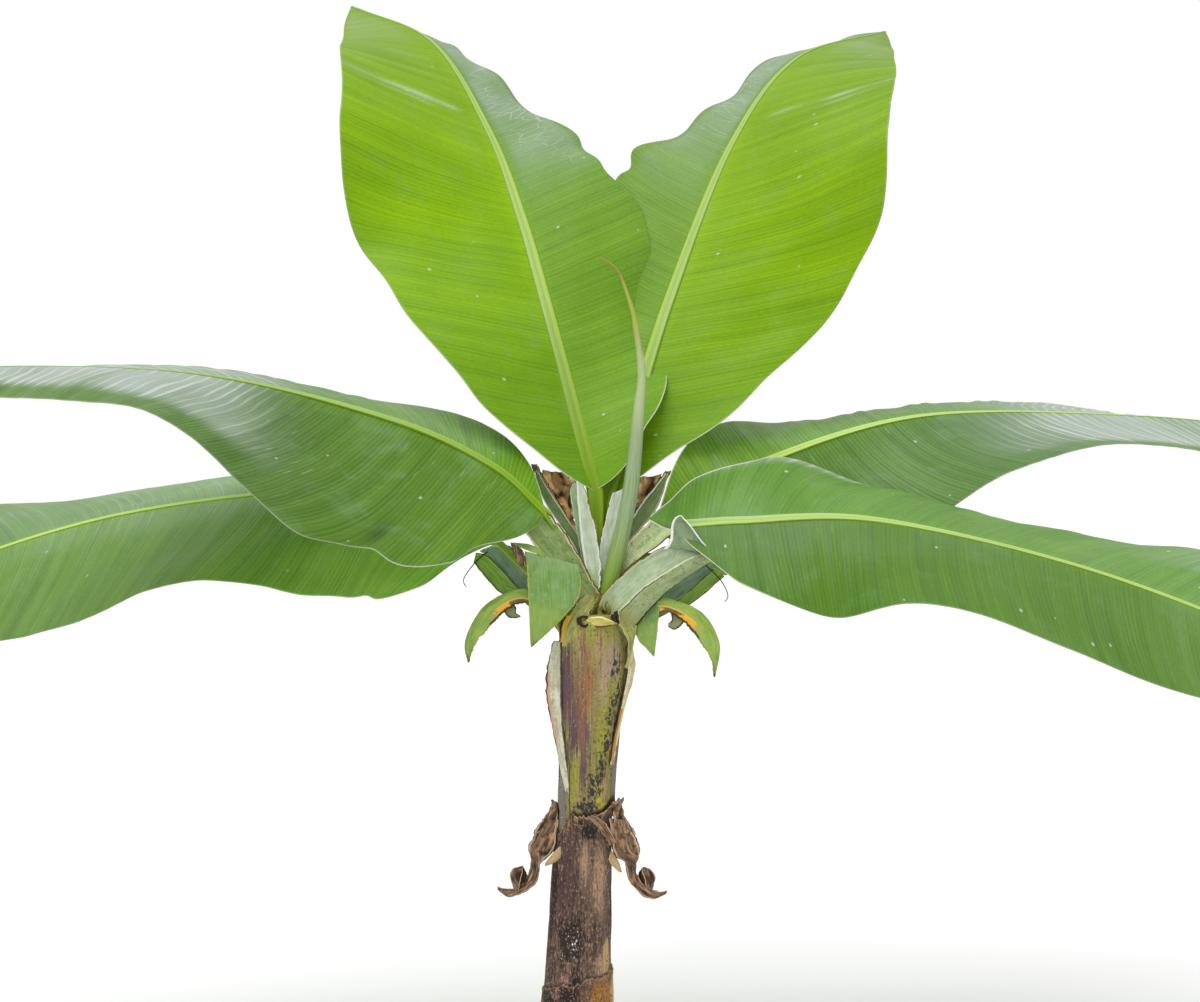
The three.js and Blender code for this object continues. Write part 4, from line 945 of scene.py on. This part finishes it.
def new_leaf_material():
    """Rolled new leaf under a matt wax bloom, with a dry tip; its side veins wind round it."""
    material, tree, shader, metres, shares = open_material("bloomed rolled leaf", 0.55, 0.3)
    if tree is None:
        return material
    along = add(tree, "SeparateXYZ", {0: shares}, 0)
    fibre = grain(tree, metres, (9, 300, 1), 3)
    tone = coats(tree, tuple(bpy.context.scene.banana_plant_colours.new_leaf), ("#7f9c34", along, 0.3, 0.05, 1),
                 ((0.7, 0.76, 0.6), fibre, 0.48, 0.62, 0.8), ((1.25, 1.2, 1.2), fibre, 0.44, 0.3, 0.8),
                 ("#b0c08c", along, 0.4, 0.6, 1), ("#a9b052", along, 0.66, 0.8, 1), ("#a08a48", along, 0.86, 0.94, 1))
    paint(tree, shader, tone, fibre, 0.5)
    return material


def sheet_material(finish):
    """Cut, withered or young sheath tissue: fibres run along it and its torn rim dries.

    Where it is crumpled, its creases get painted shade and its ridges painted highlights.
    """
    look = FINISHES[finish]
    material, tree, shader, metres, shares = open_material(look["title"], look["rough"], 0.3)
    if tree is None:
        return material
    along = add(tree, "SeparateXYZ", {0: shares}, 0)
    inner = along.node.outputs["Y"]
    outer = weigh(tree, (inner, -1))
    both = add(tree, "Math", {0: inner}, operation="ABSOLUTE")
    fibre = grain(tree, metres, (9, 260, 1), 3)
    cloud = grain(tree, metres, (34, 48, 1), 3)
    tear = grain(tree, metres, (110, 110, 1), 4, 0.6)
    tone = coats(tree, colour(look["tones"][0]), (look["tones"][1], cloud, 0.38, 0.62, 1),
                 (look["streak"][0], fibre, 0.45, 0.65, look["streak"][1]),
                 ((0.72, 0.72, 0.7), fibre, 0.45, 0.3, look["streak"][1]))
    if "blotch" in look:
        code, most = look["blotch"]
        tone = coats(tree, tone, (code, grain(tree, metres, (60, 75, 1), 5, 0.6), 0.53, 0.63, most))
    if "specks" in look:
        code, size, level = look["specks"]
        tone = coats(tree, tone, (code, grain(tree, metres, (1000 / size,) * 3, 3), level, level + 0.05, 0.85))
    ridge = add(tree, "Attribute", attribute_name="ridge", out=2)
    # Painted shade in the creases and painted highlight on the ridges of a crumpled sheet.
    tone = coats(tree, tone, ((0.3, 0.26, 0.24), ridge, 0.44, 0.05, 0.95), ((1.7, 1.6, 1.45), ridge, 0.6, 0.95, 0.95))
    edges = {INNER: inner, OUTER: outer, BOTH: both}
    for code, edge, start, strength, *limits in look.get("bands", ()):
        low, high = limits or (-1, 2)
        if edge == ALL:
            # A band over the whole width, from low to the end or from the foot to high.
            sense, start, rise = (1, low, 0.12) if low > 0 else (-1, -high, 0.1)
            measure = weigh(tree, (along, sense), (tear, 0.2), (-1, 0.1))
        else:
            measure = weigh(tree, (edges[edge], 1), (tear, 0.14), (-1, 0.07))
            rise = 0.015
            # Where it has an end, that is ragged too.
            for sense, limit in ((1, low), (-1, -high)):
                if abs(limit) < 1:
                    ramp = weigh(tree, (along, sense * 16), (-limit, 16), (tear, 4), (-1, 1.5))
                    measure = add(tree, "Math", {0: measure, 1: ramp}, operation="MINIMUM")
        tone = coats(tree, tone, (code, measure, start - rise, start + rise, strength))
    paint(tree, shader, tone, weigh(tree, (fibre, 1), (cloud, 0.6)), 0.9)
    return material


def stem_material():
    """Leaf sheaths wrapped into a stem: living and satin above, dead, matt and fibrous at the foot.

    Its fibres are drawn 4 mm apart so that they show.
    """
    material, tree, shader, *_ = open_material("wrapped leaf sheaths", 0.7, 0.3)
    if tree is None:
        return material
    where = add(tree, "TexCoord", out=3)
    mask = {name: add(tree, "Attribute", attribute_name=name, out=2) for name in (*PATCHES, "dead", "seam_and_shade", "lip")}
    fibre = grain(tree, where, (240, 240, 6), 5, 0.6)
    broad = grain(tree, where, (70, 70, 6), 3)
    spots = grain(tree, where, (170, 170, 85), 6, 0.7)
    fine = grain(tree, where, (240, 240, 170), 3)
    burl = grain(tree, where, (130, 130, 42), 6, 0.7, 1.4)

    def torn(name, by, spread):
        """A patch's mask, its margin torn by a pattern."""
        return weigh(tree, (mask[name], 1), (by, spread), (-0.5, spread))

    colours = bpy.context.scene.banana_plant_colours
    living = coats(
        tree, tuple(colours.living_sheath),
        ("#746a44", broad, 0.42, 0.64, 0.6), ("#99973f", torn("leafy", broad, 1.2), 0.3, 0.8, 0.9),
        ("#a98f62", torn("cream", fibre, 1.4), 0.3, 0.9, 0.9), ("#ab967c", torn("mauve", fibre, 2.0), 0.25, 0.8, 0.9),
        ("#827e78", torn("ash", broad, 0.8), 0.35, 0.55, 1), ("#a9a8a0", torn("ash", spots, 2.4), 0.85, 1.2, 0.6),
        ("#5c5254", torn("ash", burl, 2.6), 0.95, 1.3, 0.6),
        ("#5f4450", torn("purple", fibre, 2.2), 0.15, 0.8, 0.95), ("#8a6b72", torn("purple", fine, 2.4), 0.9, 1.2, 0.5),
        ("#9c6c4c", torn("ember", broad, 1.8), 0.1, 1.0, 0.85), ("#c09a52", torn("gold", spots, 0.8), 0.35, 0.6, 0.9),
        ("#4c402e", fibre, 0.54, 0.68, 0.45), ((1.3, 1.26, 1.18), fibre, 0.46, 0.36, 0.75),
        ("#3a3026", fine, 0.6, 0.66, 0.6), ("#c8c08c", fine, 0.38, 0.33, 0.35),
        ("#2b2530", torn("soot", spots, 5.0), 0.7, 0.85, 0.92), ("#b9b22c", torn("lichen", spots, 2.0), 0.45, 0.6, 1))
    dead = coats(
        tree, tuple(colours.dead_sheath), ("#392b26", burl, 0.48, 0.6, 0.9), ("#a5866a", burl, 0.45, 0.35, 0.9),
        ("#b8967a", torn("tan", burl, 2.6), 0.4, 1.0, 0.9), ("#553c3c", torn("wine", burl, 1.6), 0.3, 0.9, 0.75),
        ("#5f3f3e", torn("rosy", burl, 1.4), 0.3, 0.9, 0.8), ("#b08a7c", torn("rosy", spots, 3.0), 0.8, 1.0, 0.85),
        ("#a8742e", torn("rust", fibre, 2.4), 0.15, 0.8, 0.95),
        ("#c0a070", torn("pith", burl, 1.0), 0.3, 0.7, 0.95), ("#271d1b", torn("scorch", burl, 1.8), 0.3, 0.8, 0.95),
        ("#2e231e", fibre, 0.53, 0.66, 0.7), ((1.4, 1.34, 1.25), fibre, 0.44, 0.32, 0.7),
        ("#1f1815", fine, 0.57, 0.65, 0.6), ("#bfa488", fine, 0.4, 0.34, 0.5),
        ("#e8e6e2", torn("chalk", fine, 3.6), 1.3, 1.38, 1))
    # Dark lines beside the front sheath's edges, painted shade just above the dead rim and a dark band above the older
    # rim.
    tone = coats(tree, living, (dead, mask["dead"], 0.3, 0.7, 1), ("#2f251c", mask["seam_and_shade"], 0, 1, 0.85),
                 ("#9c8062", torn("lip", spots, 2.4), 0.6, 0.8, 0.8))
    paint(tree, shader, tone, weigh(tree, (fibre, 0.8), (fine, 0.5), (burl, 1.0)), 2.2)
    return material


# ---------------------------------------------------------------- leaves

def fullness(half, t):
    """How much of its full width a leaf half has at t."""
    start = half.get("start", 0)
    t = np.clip((t - start) / (1 - start), 0, 1)
    low = (1 - (1 - np.clip(t / half["peak"], 0, 1)) ** 2) ** half["base"]
    high = (1 - np.clip((t - half["peak"]) / (1 - half["peak"]), 0, 1) ** half["blunt"]) ** half["tip"]
    return np.where(t < half["peak"], low, high)


def rib_frame(leaf, line, t):
    """The rib's direction, its level side and its upper side at t."""
    facing = math.radians(leaf["facing"])
    level = np.array([math.sin(facing), -math.cos(facing), 0.0])
    along = line.along(t)
    side = unit(level - (along @ level)[..., None] * along)
    return along, side, np.cross(side, along)


def half_blade(leaf, sign, line, t, v):
    """One half of a blade: its points, its vein coordinates, and its masks."""
    half = leaf["left" if sign < 0 else "right"]
    sizes = bpy.context.scene.banana_plant_sizes
    along, side, up = rib_frame(leaf, line, t)
    full = half["width"] * fullness(half, t)
    for at, most, wide in half.get("bumps", ()):
        full = full + most * hump((t - at, wide))
    full = np.maximum(full, LEAST_WIDTH)
    lift, curl = np.radians(smooth(half["lift"], t)), np.radians(smooth(half["curl"], t))
    bend, turn = lift + curl * v / 2, lift + curl * v
    reach = full * v
    offset = (side * (sign * reach * np.cos(bend))[:, None] + up * (reach * np.sin(bend))[:, None]
              + along * (smooth(SWEEP, t) * reach * v)[:, None])
    normal = up * np.cos(turn)[:, None] - side * (sign * np.sin(turn))[:, None]
    vein = t * line.length - smooth(half["slant"], t) * reach
    seed = leaf["seed"] + (50 if sign > 0 else 0)
    # Broad pleats stand along the veins, deepest in mid blade; the margin waves, and the whole blade undulates.
    phase = 2 * np.pi * vein / (sizes.pleat / MM) + 2.2 * field(seed, vein / 90)
    high = sizes.pleat_height / MM * leaf["pleat"] * np.sin(phase) * ease(0.03, 0.3, v) * (1 - 0.8 * ease(0.7, 1, v))
    high = high + sizes.wave / MM * leaf["wave"] * field(seed + 2, t * 7, v * 0.6) * v ** 2.2
    high = high + 3.5 * field(seed + 3, vein / 120, reach / 110) * ease(0.05, 0.4, v)
    frill = np.sin(2 * np.pi * (9 * t + 0.5 * field(seed + 4, t * 6))) * ease(0.15, 0.5, t)
    high = high + half.get("frill", 0) * frill * v ** 2
    # Where the half is narrow it has less room for them.
    high = high * np.clip(full / 120, 0, 1)
    # Where the sheen list puts it, a painted whitish sheen lies over the wax.
    bloom = np.zeros_like(t)
    for which, t0, t1, v0, v1, most in leaf["sheen"]:
        if which == sign:
            mask = ease(t0 - 0.14, t0 + 0.14, t) * (1 - ease(t1 - 0.1, t1 + 0.1, t))
            mask = mask * ease(v0 - 0.1, v0 + 0.1, v) * (1 - ease(v1 - 0.16, v1 + 0.1, v))
            bloom = np.maximum(bloom, most * mask * (0.85 + 0.15 * field(seed + 7, vein / 60, v * 2)))
    # Along some creases a painted whitish reflection follows the side veins.
    streak = np.zeros_like(t)
    for which, at, v0, v1, wide, most in leaf["streaks"]:
        if which == sign:
            mask = hump((vein - at * line.length + 3 * field(seed + 5, v * 4), wide))
            mask = mask * ease(v0, v0 + 0.15, v) * (1 - ease(v1 - 0.1, v1, v))
            streak = np.maximum(streak, most * mask * (0.75 + 0.3 * field(seed + 6, v * 6)))
    # Hollows are painted with shade, and the blade sinks there too.
    shaded_dent = np.zeros_like(t)
    for which, at_t, at_v, wide_t, wide_v, most in leaf["dents"]:
        if which == sign:
            shaded_dent = np.maximum(shaded_dent, most * hump((vein / line.length - at_t, wide_t), (v - at_v, wide_v)))
            high = high - 10 * shaded_dent
    # The pale rim is about 1 mm wide, and wider and whiter near the base.
    rim = ease(1.2 + 2.2 * ease(0.3, 0.1, t), 0.6, full * (1 - v)) * (0.45 + 0.55 * ease(0.35, 0.1, t))
    masks = np.clip(bloom, 0, 1), np.clip(streak, 0, 1), rim, np.clip(shaded_dent, 0, 1)
    return offset + normal * high[:, None], vein, sign * reach, *masks


class BANANA_OT_blades(bpy.types.Operator):
    """Lays out the six leaf blades from their ribs, with pleats and waved margins"""
    bl_idname = "banana_plant.blades"
    bl_label = "Leaf blades"

    def execute(self, context):
        for name, leaf in LEAVES.items():
            line = course(leaf["rib"])

            def place(t, x):
                # Corners crowd towards the margin so that its thin rim shows.
                sign = np.where(x < 0.5, -1.0, 1.0)
                v = 1 - (1 - np.abs(2 * x - 1)) ** 1.3
                left, right = (half_blade(leaf, s, line, t, v) for s in (-1, 1))
                spots = np.where(sign[:, None] < 0, left[0], right[0])
                vein, reach, bloom, streak, rim, shaded_dent = (np.where(sign < 0, a, b) for a, b in zip(left[1:], right[1:]))
                masks = {"bloom": bloom, "streak": streak, "rim": rim, "shaded_dent": shaded_dent}
                return line.at(t) + spots, np.stack([vein, reach], -1), np.stack([t, v * sign], -1), masks

            piece = add_grid(f"blade_{name}", BLADE_FACES, int(line.length / BLADE_ROW), place)
            thicken(piece, context.scene.banana_plant_sizes.blade, -1, 1)
            finish_piece(piece, leaf["slot"], (f"leaf_{name}_inner", f"leaf_{name}_outer"),
                         leaf_material(name, leaf), leaf_material(name, leaf, under=True))
        return {"FINISHED"}


class BANANA_OT_ribs(bpy.types.Operator):
    """Models each rib with its stalk: channelled above and round below"""
    bl_idname = "banana_plant.ribs"
    bl_label = "Leaf ribs and stalks"

    def execute(self, context):
        for name, leaf in LEAVES.items():
            half, taper, rise = leaf["keel"]
            blade = course(leaf["rib"])
            joint = leaf.get("joint", 0)
            foot = course([*leaf["stalk"], blade.at(joint), blade.at(joint + 0.04)])
            join = np.linalg.norm(foot.spots - blade.at(joint), axis=1).argmin()
            line = Course(np.vstack([foot.spots[:join], blade.spots[blade.marks >= joint * blade.length]]))
            start = foot.marks[join] / line.length

            def place(t, x):
                _, side, up = rib_frame(leaf, line, t)
                share = joint + (1 - joint) * np.clip((t - start) / (1 - start), 0, 1)
                turn = np.radians(smooth(leaf["right"]["lift"], share) - smooth(leaf["left"]["lift"], share)) / 2
                turn = turn * ease(start * 0.4, start, t)
                out = up * np.cos(turn)[:, None] - side * np.sin(turn)[:, None]
                flat = up * np.sin(turn)[:, None] + side * np.cos(turn)[:, None]
                r = half * (1 - 0.9 * share ** taper) * (leaf["foot"] + (1 - leaf["foot"]) * ease(0, start, t))
                r = r * (1 - ease(0.985, 1.0, t)) * ease(0, 0.003, t)
                a = 2 * np.pi * x
                # A channel above between two round shoulders, and a round keel below.
                lid = np.sqrt(np.maximum(np.cos(a), 0))
                groove = 1.2 * rise * hump((np.sin(a), 0.5)) * (0.6 + 0.4 * ease(start * 1.6, start * 0.6, t))
                high = np.where(np.cos(a) > 0, r * (rise * np.cos(a) - groove * lid), r * 1.15 * np.cos(a))
                spot = line.at(t) + flat * (r * np.sin(a))[:, None] + out * (high + 0.12 * r)[:, None]
                # edge marks where the flanks and the keel get painted shade, and sunny the shoulder that gets painted
                # light.
                edge = np.where(np.cos(a) > 0, ease(0.8, 0.98, np.abs(np.sin(a))), 1.0)
                sunny = np.where(np.cos(a) > 0, np.sin(a) * leaf["sunny"], 0)
                return (spot, np.stack([t * line.length, r * a], -1), np.stack([share, x], -1),
                        {"edge": edge, "sunny": sunny})

            piece = add_grid(f"rib_{name}", *RIB_GRID, place)
            close_seams(piece)
            finish_piece(piece, "stalk", (f"leaf_{name}_inner", f"stalk_{name}"), rib_material(name, leaf))
        return {"FINISHED"}


class BANANA_OT_new_leaf(bpy.types.Operator):
    """Models the rolled new leaf, its free edge winding up to a dry curled tip"""
    bl_idname = "banana_plant.new_leaf"
    bl_label = "Rolled new leaf"

    def execute(self, context):
        def radius(t, angle):
            # The free edge of the roll makes a step that winds round more quickly near the tip.
            wind = (angle / (2 * np.pi) + 0.5 + 0.5 * t + 5 * ease(0.5, 1, t) * (t - 0.5)) % 1.0
            return smooth(SPEAR_RADIUS, t) * (1 + (0.16 + 0.25 * ease(0.5, 0.7, t)) * (wind - 0.5))

        piece = tube("rolled_leaf", course(SPEAR), radius, NEW_LEAF_GRID)
        finish_piece(piece, "pale_sheath", ("spear",), new_leaf_material())
        return {"FINISHED"}


# ---------------------------------------------------------------- stem and sheets

def stem_line(z):
    """The stem's radius and its lean to the right at a height."""
    table = np.array(STEM, float)
    return np.interp(z, table[:, 0], table[:, 1]), np.interp(z, table[:, 0], table[:, 2])


def round_stem(table, turn, rough):
    """A height or measure given round the stem, at turn degrees, roughened by so many mm."""
    table = np.array(table, float)
    ring = np.radians(turn)
    bumps = field(23, 3 * np.cos(ring), 3 * np.sin(ring)) + 0.6 * field(24, 12 * np.cos(ring), 12 * np.sin(ring))
    return np.interp(turn, table[:, 0], table[:, 1]) + rough * bumps


class BANANA_OT_stem(bpy.types.Operator):
    """Models the stem of wrapped sheaths with their edges, fibres and the dead foot"""
    bl_idname = "banana_plant.stem"
    bl_label = "Stem"

    def execute(self, context):
        top, sheath = STEM[-1][0], np.array(FRONT_SHEATH, float)
        fibre_height = context.scene.banana_plant_sizes.fibre / MM

        def place(t, x):
            z = t * top
            angle = 2 * np.pi * (x - 0.5)
            turn = np.degrees(angle)
            ring = (np.cos(angle), np.sin(angle))
            r, lean = stem_line(z)
            # The living sheaths: the front one laps over the others, and its edges stand up a little.
            left = np.interp(z, sheath[:, 0], sheath[:, 1]) + 1.5 * field(21, z / 30)
            right = np.interp(z, sheath[:, 0], sheath[:, 2]) + 2.5 * field(22, z / 16)
            front = ease(-0.8, 0.8, turn - left) * ease(-0.8, 0.8, right - turn)
            lip = hump((turn - left - 2.5, 2.5)) + hump((right - turn - 2.5, 2.5))
            step = 3.2 * front + 1.5 * ease(-0.8, 0.8, turn - right) + 1.6 * lip
            seam_and_shade = hump((turn - left + 1.8, 2.2)) + hump((right - turn + 1.8, 2.2))
            # The dead foot: thicker, wrinkled and torn along its upper rim, over an older one.
            rim = round_stem(DEAD_RIM, turn, 3)
            dead = ease(3, -3, z - rim)
            # Just above the dead rim the living stem is painted dark: painted shade where it goes into the cuff.
            seam_and_shade = seam_and_shade * (1 - dead) + 0.9 * ease(14, 0, z - rim) * (1 - dead)
            old = round_stem(OLD_RIM, turn, 5)
            low = ease(1.5, -1.5, z - old)
            seam_and_shade = seam_and_shade + 0.8 * ease(7, 1, z - old) * (1 - low) * ease(-1.5, 1, z - old)
            # The older rim rolls over, and there is one short tear above it.
            at, height, wide, tall = SHORT_TEAR
            rolled = hump((z - old + 2, 2.5)) + 0.6 * hump((z - height, tall), (turn - at, wide))
            wrinkle = field(25, *(14.0 * c for c in ring), z / 90)
            high = (step * (1 - dead) + (2.0 + 1.3 * wrinkle) * dead + 3.0 * low + 1.5 * rolled
                    + fibre_height * field(26, *(34.0 * c for c in ring), z / 70)
                    + 1.6 * field(27, *(2.6 * c for c in ring), z / 90))
            r = (r - 2 + high) * ease(0, 0.0008, t) * (1 - ease(0.9992, 1, t))
            masks = {"dead": dead, "seam_and_shade": np.clip(seam_and_shade, 0, 1), "lip": np.clip(rolled, 0, 1)}
            for name, spots in PATCHES.items():
                masks[name] = np.zeros_like(z)
                for at, height, wide, tall, *slope in spots:
                    off = (turn - at - sum(slope) * (z - height) + 180) % 360 - 180
                    masks[name] = np.maximum(masks[name], hump((off, wide), (z - height, tall)))
            spot = np.stack([lean + r * np.sin(angle), -r * np.cos(angle), z], -1)
            return spot, np.stack([z, 60 * angle], -1), np.stack([t, x], -1), masks

        piece = add_grid("stem", *STEM_GRID, place)
        close_seams(piece)
        finish_piece(piece, "stem", ("pseudostem",), stem_material())
        return {"FINISHED"}


class BANANA_OT_dead_rim(bpy.types.Operator):
    """Models the torn, wrinkled cuff that the dead sheath ends in"""
    bl_idname = "banana_plant.dead_rim"
    bl_label = "Dead sheath rim"

    def execute(self, context):
        def place(t, x):
            angle = 2 * np.pi * (x - 0.5)
            turn = np.degrees(angle)
            rim = round_stem(DEAD_RIM, turn, 3)
            flare = np.interp(turn, [row[0] for row in DEAD_RIM], [row[2] for row in DEAD_RIM])
            ring = (np.cos(angle), np.sin(angle))
            tall = CUFF_HEIGHT * np.clip(flare / CUFF_FLARE, 0.15, 1)
            z = rim - tall * (1 - t) + 2.5 * t * field(31, *(16.0 * c for c in ring))
            r, lean = stem_line(z)
            crease = field(32, *(7.0 * c for c in ring), t * 1.5) + 0.5 * field(33, *(20.0 * c for c in ring), t * 2)
            # Its creases get painted shade and its folds painted highlights.
            lump = 0.5 + 0.5 * crease * ease(0, 0.3, t)
            # It leaves the stem from just inside it, flares out, and turns in a little at its lip.
            out = -3 + 5 * ease(0, 0.5, t) + flare * t ** 1.8
            out = out - 2.5 * ease(0.85, 1, t) * np.clip(flare / CUFF_FLARE, 0, 1) + 2.6 * t * crease
            r = r + out
            spot = np.stack([lean + r * np.sin(angle), -r * np.cos(angle), z], -1)
            shares = np.stack([t, 2 * t - 1], -1)
            return spot, np.stack([tall * t, 56 * angle], -1), shares, {"ridge": np.clip(lump, 0, 1)}

        piece = add_grid("dead_sheath_rim", *RIM_GRID, place)
        close_seams(piece)
        thicken(piece, SHEET_THICKNESS * MM)
        finish_piece(piece, "dry_sheath", ("pseudostem",), sheet_material("dry"))
        return {"FINISHED"}


def lay_sheet(sheet, seed):
    """How a sheet lies between its two edges, cupped, torn and creased, and how long it is."""
    edges = [course(sheet["left"]), course(sheet["right"])]
    length = (edges[0].length + edges[1].length) / 2
    crumple = sheet.get("crumple", 0.8)

    def place(t, x):
        ends = [edge.at(t) for edge in edges]
        gap = ends[1] - ends[0]
        wide = np.linalg.norm(gap, axis=-1)
        across = gap / np.maximum(wide, 1e-6)[:, None]
        along = unit(edges[0].along(t) + edges[1].along(t))
        out = unit(np.cross(across, along) + 1e-9)
        out = out * np.where(out @ np.array([0.0, 1.0, 0.0]) < 0, -1.0, 1.0)[:, None]
        v = 2 * x - 1
        u = t * length
        # Torn edges: teeth of a few mm that pull the rim in and out.
        for which, (side, edge) in enumerate(((-1, ease(0.2, 1, -v)), (1, ease(0.2, 1, v)))):
            tear = sheet["ragged"][which] * (field(seed + which, u / 9) + 0.6 * field(seed + 3 + which, u / 3.5))
            ends[0] = ends[0] + across * (side * tear * edge)[:, None]
        room = np.clip(wide / 20, 0, 1)
        bow = sheet["cup"] * np.sqrt(np.maximum(1 - 0.96 * v ** 2, 0)) * np.clip(wide / 24, 0, 1) - 0.2 * sheet["cup"]
        crease = (field(seed + 5, u / 26, v * 2.2) + 0.5 * field(seed + 6, u / 11, v * 4)) * room
        # Where it is crumpled, ridge gives its creases painted shade and its ridges painted highlights.
        ridge = np.clip(0.5 - 0.5 * crease, 0, 1) if crumple > 1 else np.full_like(t, 0.5)
        spot = ends[0] + gap * x[:, None] + out * (bow + crumple * crease)[:, None]
        shares = np.stack([t, v * sheet.get("inner", 1)], -1)
        return spot, np.stack([u, wide * x], -1), shares, {"ridge": ridge}

    return place, length


class BANANA_OT_sheets(bpy.types.Operator):
    """Models the young sheaths, open stalks, cut stubs, dry remnants and torn rims"""
    bl_idname = "banana_plant.sheets"
    bl_label = "Sheaths, stubs and remnants"

    def execute(self, context):
        for number, (name, sheet) in enumerate(SHEETS.items()):
            place, length = lay_sheet(sheet, 100 + 10 * number)
            piece = add_grid(name, SHEET_FACES, max(SHEET_FEWEST, int(length / SHEET_ROW)), place)
            thicken(piece, sheet.get("thickness", SHEET_THICKNESS) * MM)
            finish_piece(piece, sheet["slot"], (sheet["node"],), sheet_material(sheet["finish"]))
        return {"FINISHED"}


class BANANA_OT_threads(bpy.types.Operator):
    """Models the thin dry threads that hang from the cut stubs"""
    bl_idname = "banana_plant.threads"
    bl_label = "Dry threads"

    def execute(self, context):
        for name, (node, points) in THREADS.items():
            piece = tube(name, course(points), lambda t, angle: THREAD_RADIUS - THREAD_TAPER * t, THREAD_GRID)
            finish_piece(piece, "dry_sheath", (node,), sheet_material("dry_dark"))
        return {"FINISHED"}


# ---------------------------------------------------------------- stage

class BANANA_OT_stage(bpy.types.Operator):
    """Sets the pale floor, the soft studio light and the camera"""
    bl_idname = "banana_plant.stage"
    bl_label = "Stage"

    def execute(self, context):
        scene = context.scene
        bpy.ops.object.select_all(action="DESELECT")
        # The floor lies 1 mm under the flat cut.
        bpy.ops.mesh.primitive_plane_add(size=FLOOR_SIZE, location=(0, 0, -MM))
        floor = context.object
        floor.name = "floor"
        material, tree, shader, *_ = open_material("pale studio floor", 0.9)
        shader.inputs["Base Color"].default_value = (0.92, 0.92, 0.92, 1)
        floor.data.materials.append(material)
        world = bpy.data.worlds.new("studio")
        scene.world = world
        world.use_nodes = True
        tree = world.node_tree
        sky = tree.nodes["Background"]
        sky.inputs["Color"].default_value = (1, 1, 1, 1)
        # The sky is plain white where it is seen and softer where it lights the plant.
        strength = add(tree, "MapRange", {"Value": add(tree, "LightPath"), "To Min": 0.75, "To Max": 1.0})
        tree.links.new(strength, sky.inputs["Strength"])
        bpy.ops.object.light_add(type="SUN", location=(0, 0, 6), rotation=(math.radians(20), math.radians(-14), 0))
        lamp = context.object
        lamp.name = "soft lamp"
        lamp.data.energy = 1.6
        lamp.data.angle = math.radians(50)
        bpy.ops.object.camera_add(location=CAMERA_SPOT, rotation=(math.radians(90), 0, 0))
        camera = context.object
        camera.data.lens = CAMERA_LENS
        camera.data.sensor_width = CAMERA_SENSOR
        scene.camera = camera
        scene.view_settings.view_transform = "Standard"
        return {"FINISHED"}


class BANANA_PT_panel(bpy.types.Panel):
    """The banana plant's sizes, colours and pieces, in the sidebar"""
    bl_idname = "BANANA_PT_panel"
    bl_label = "Banana Plant"
    bl_space_type = "VIEW_3D"
    bl_region_type = "UI"
    bl_category = "Banana Plant"

    def draw(self, context):
        for group in (context.scene.banana_plant_sizes, context.scene.banana_plant_colours):
            for name in group.bl_rna.properties.keys():
                if name not in ("rna_type", "name"):
                    self.layout.prop(group, name)
        for operator in OPERATORS:
            self.layout.operator(operator.bl_idname)


OPERATORS = (BANANA_OT_stage, BANANA_OT_stem, BANANA_OT_dead_rim, BANANA_OT_blades, BANANA_OT_ribs,
             BANANA_OT_new_leaf, BANANA_OT_sheets, BANANA_OT_threads)
CLASSES = (BananaPlantSizes, BananaPlantColours, *OPERATORS, BANANA_PT_panel)


def register():
    for item in CLASSES:
        bpy.utils.register_class(item)
    bpy.types.Scene.banana_plant_sizes = bpy.props.PointerProperty(type=BananaPlantSizes)
    bpy.types.Scene.banana_plant_colours = bpy.props.PointerProperty(type=BananaPlantColours)


def unregister():
    del bpy.types.Scene.banana_plant_colours
    del bpy.types.Scene.banana_plant_sizes
    for item in reversed(CLASSES):
        bpy.utils.unregister_class(item)


def main():
    register()
    for operator in OPERATORS:
        getattr(bpy.ops.banana_plant, operator.bl_idname.split(".")[1])()


if __name__ == "__main__":
    main()
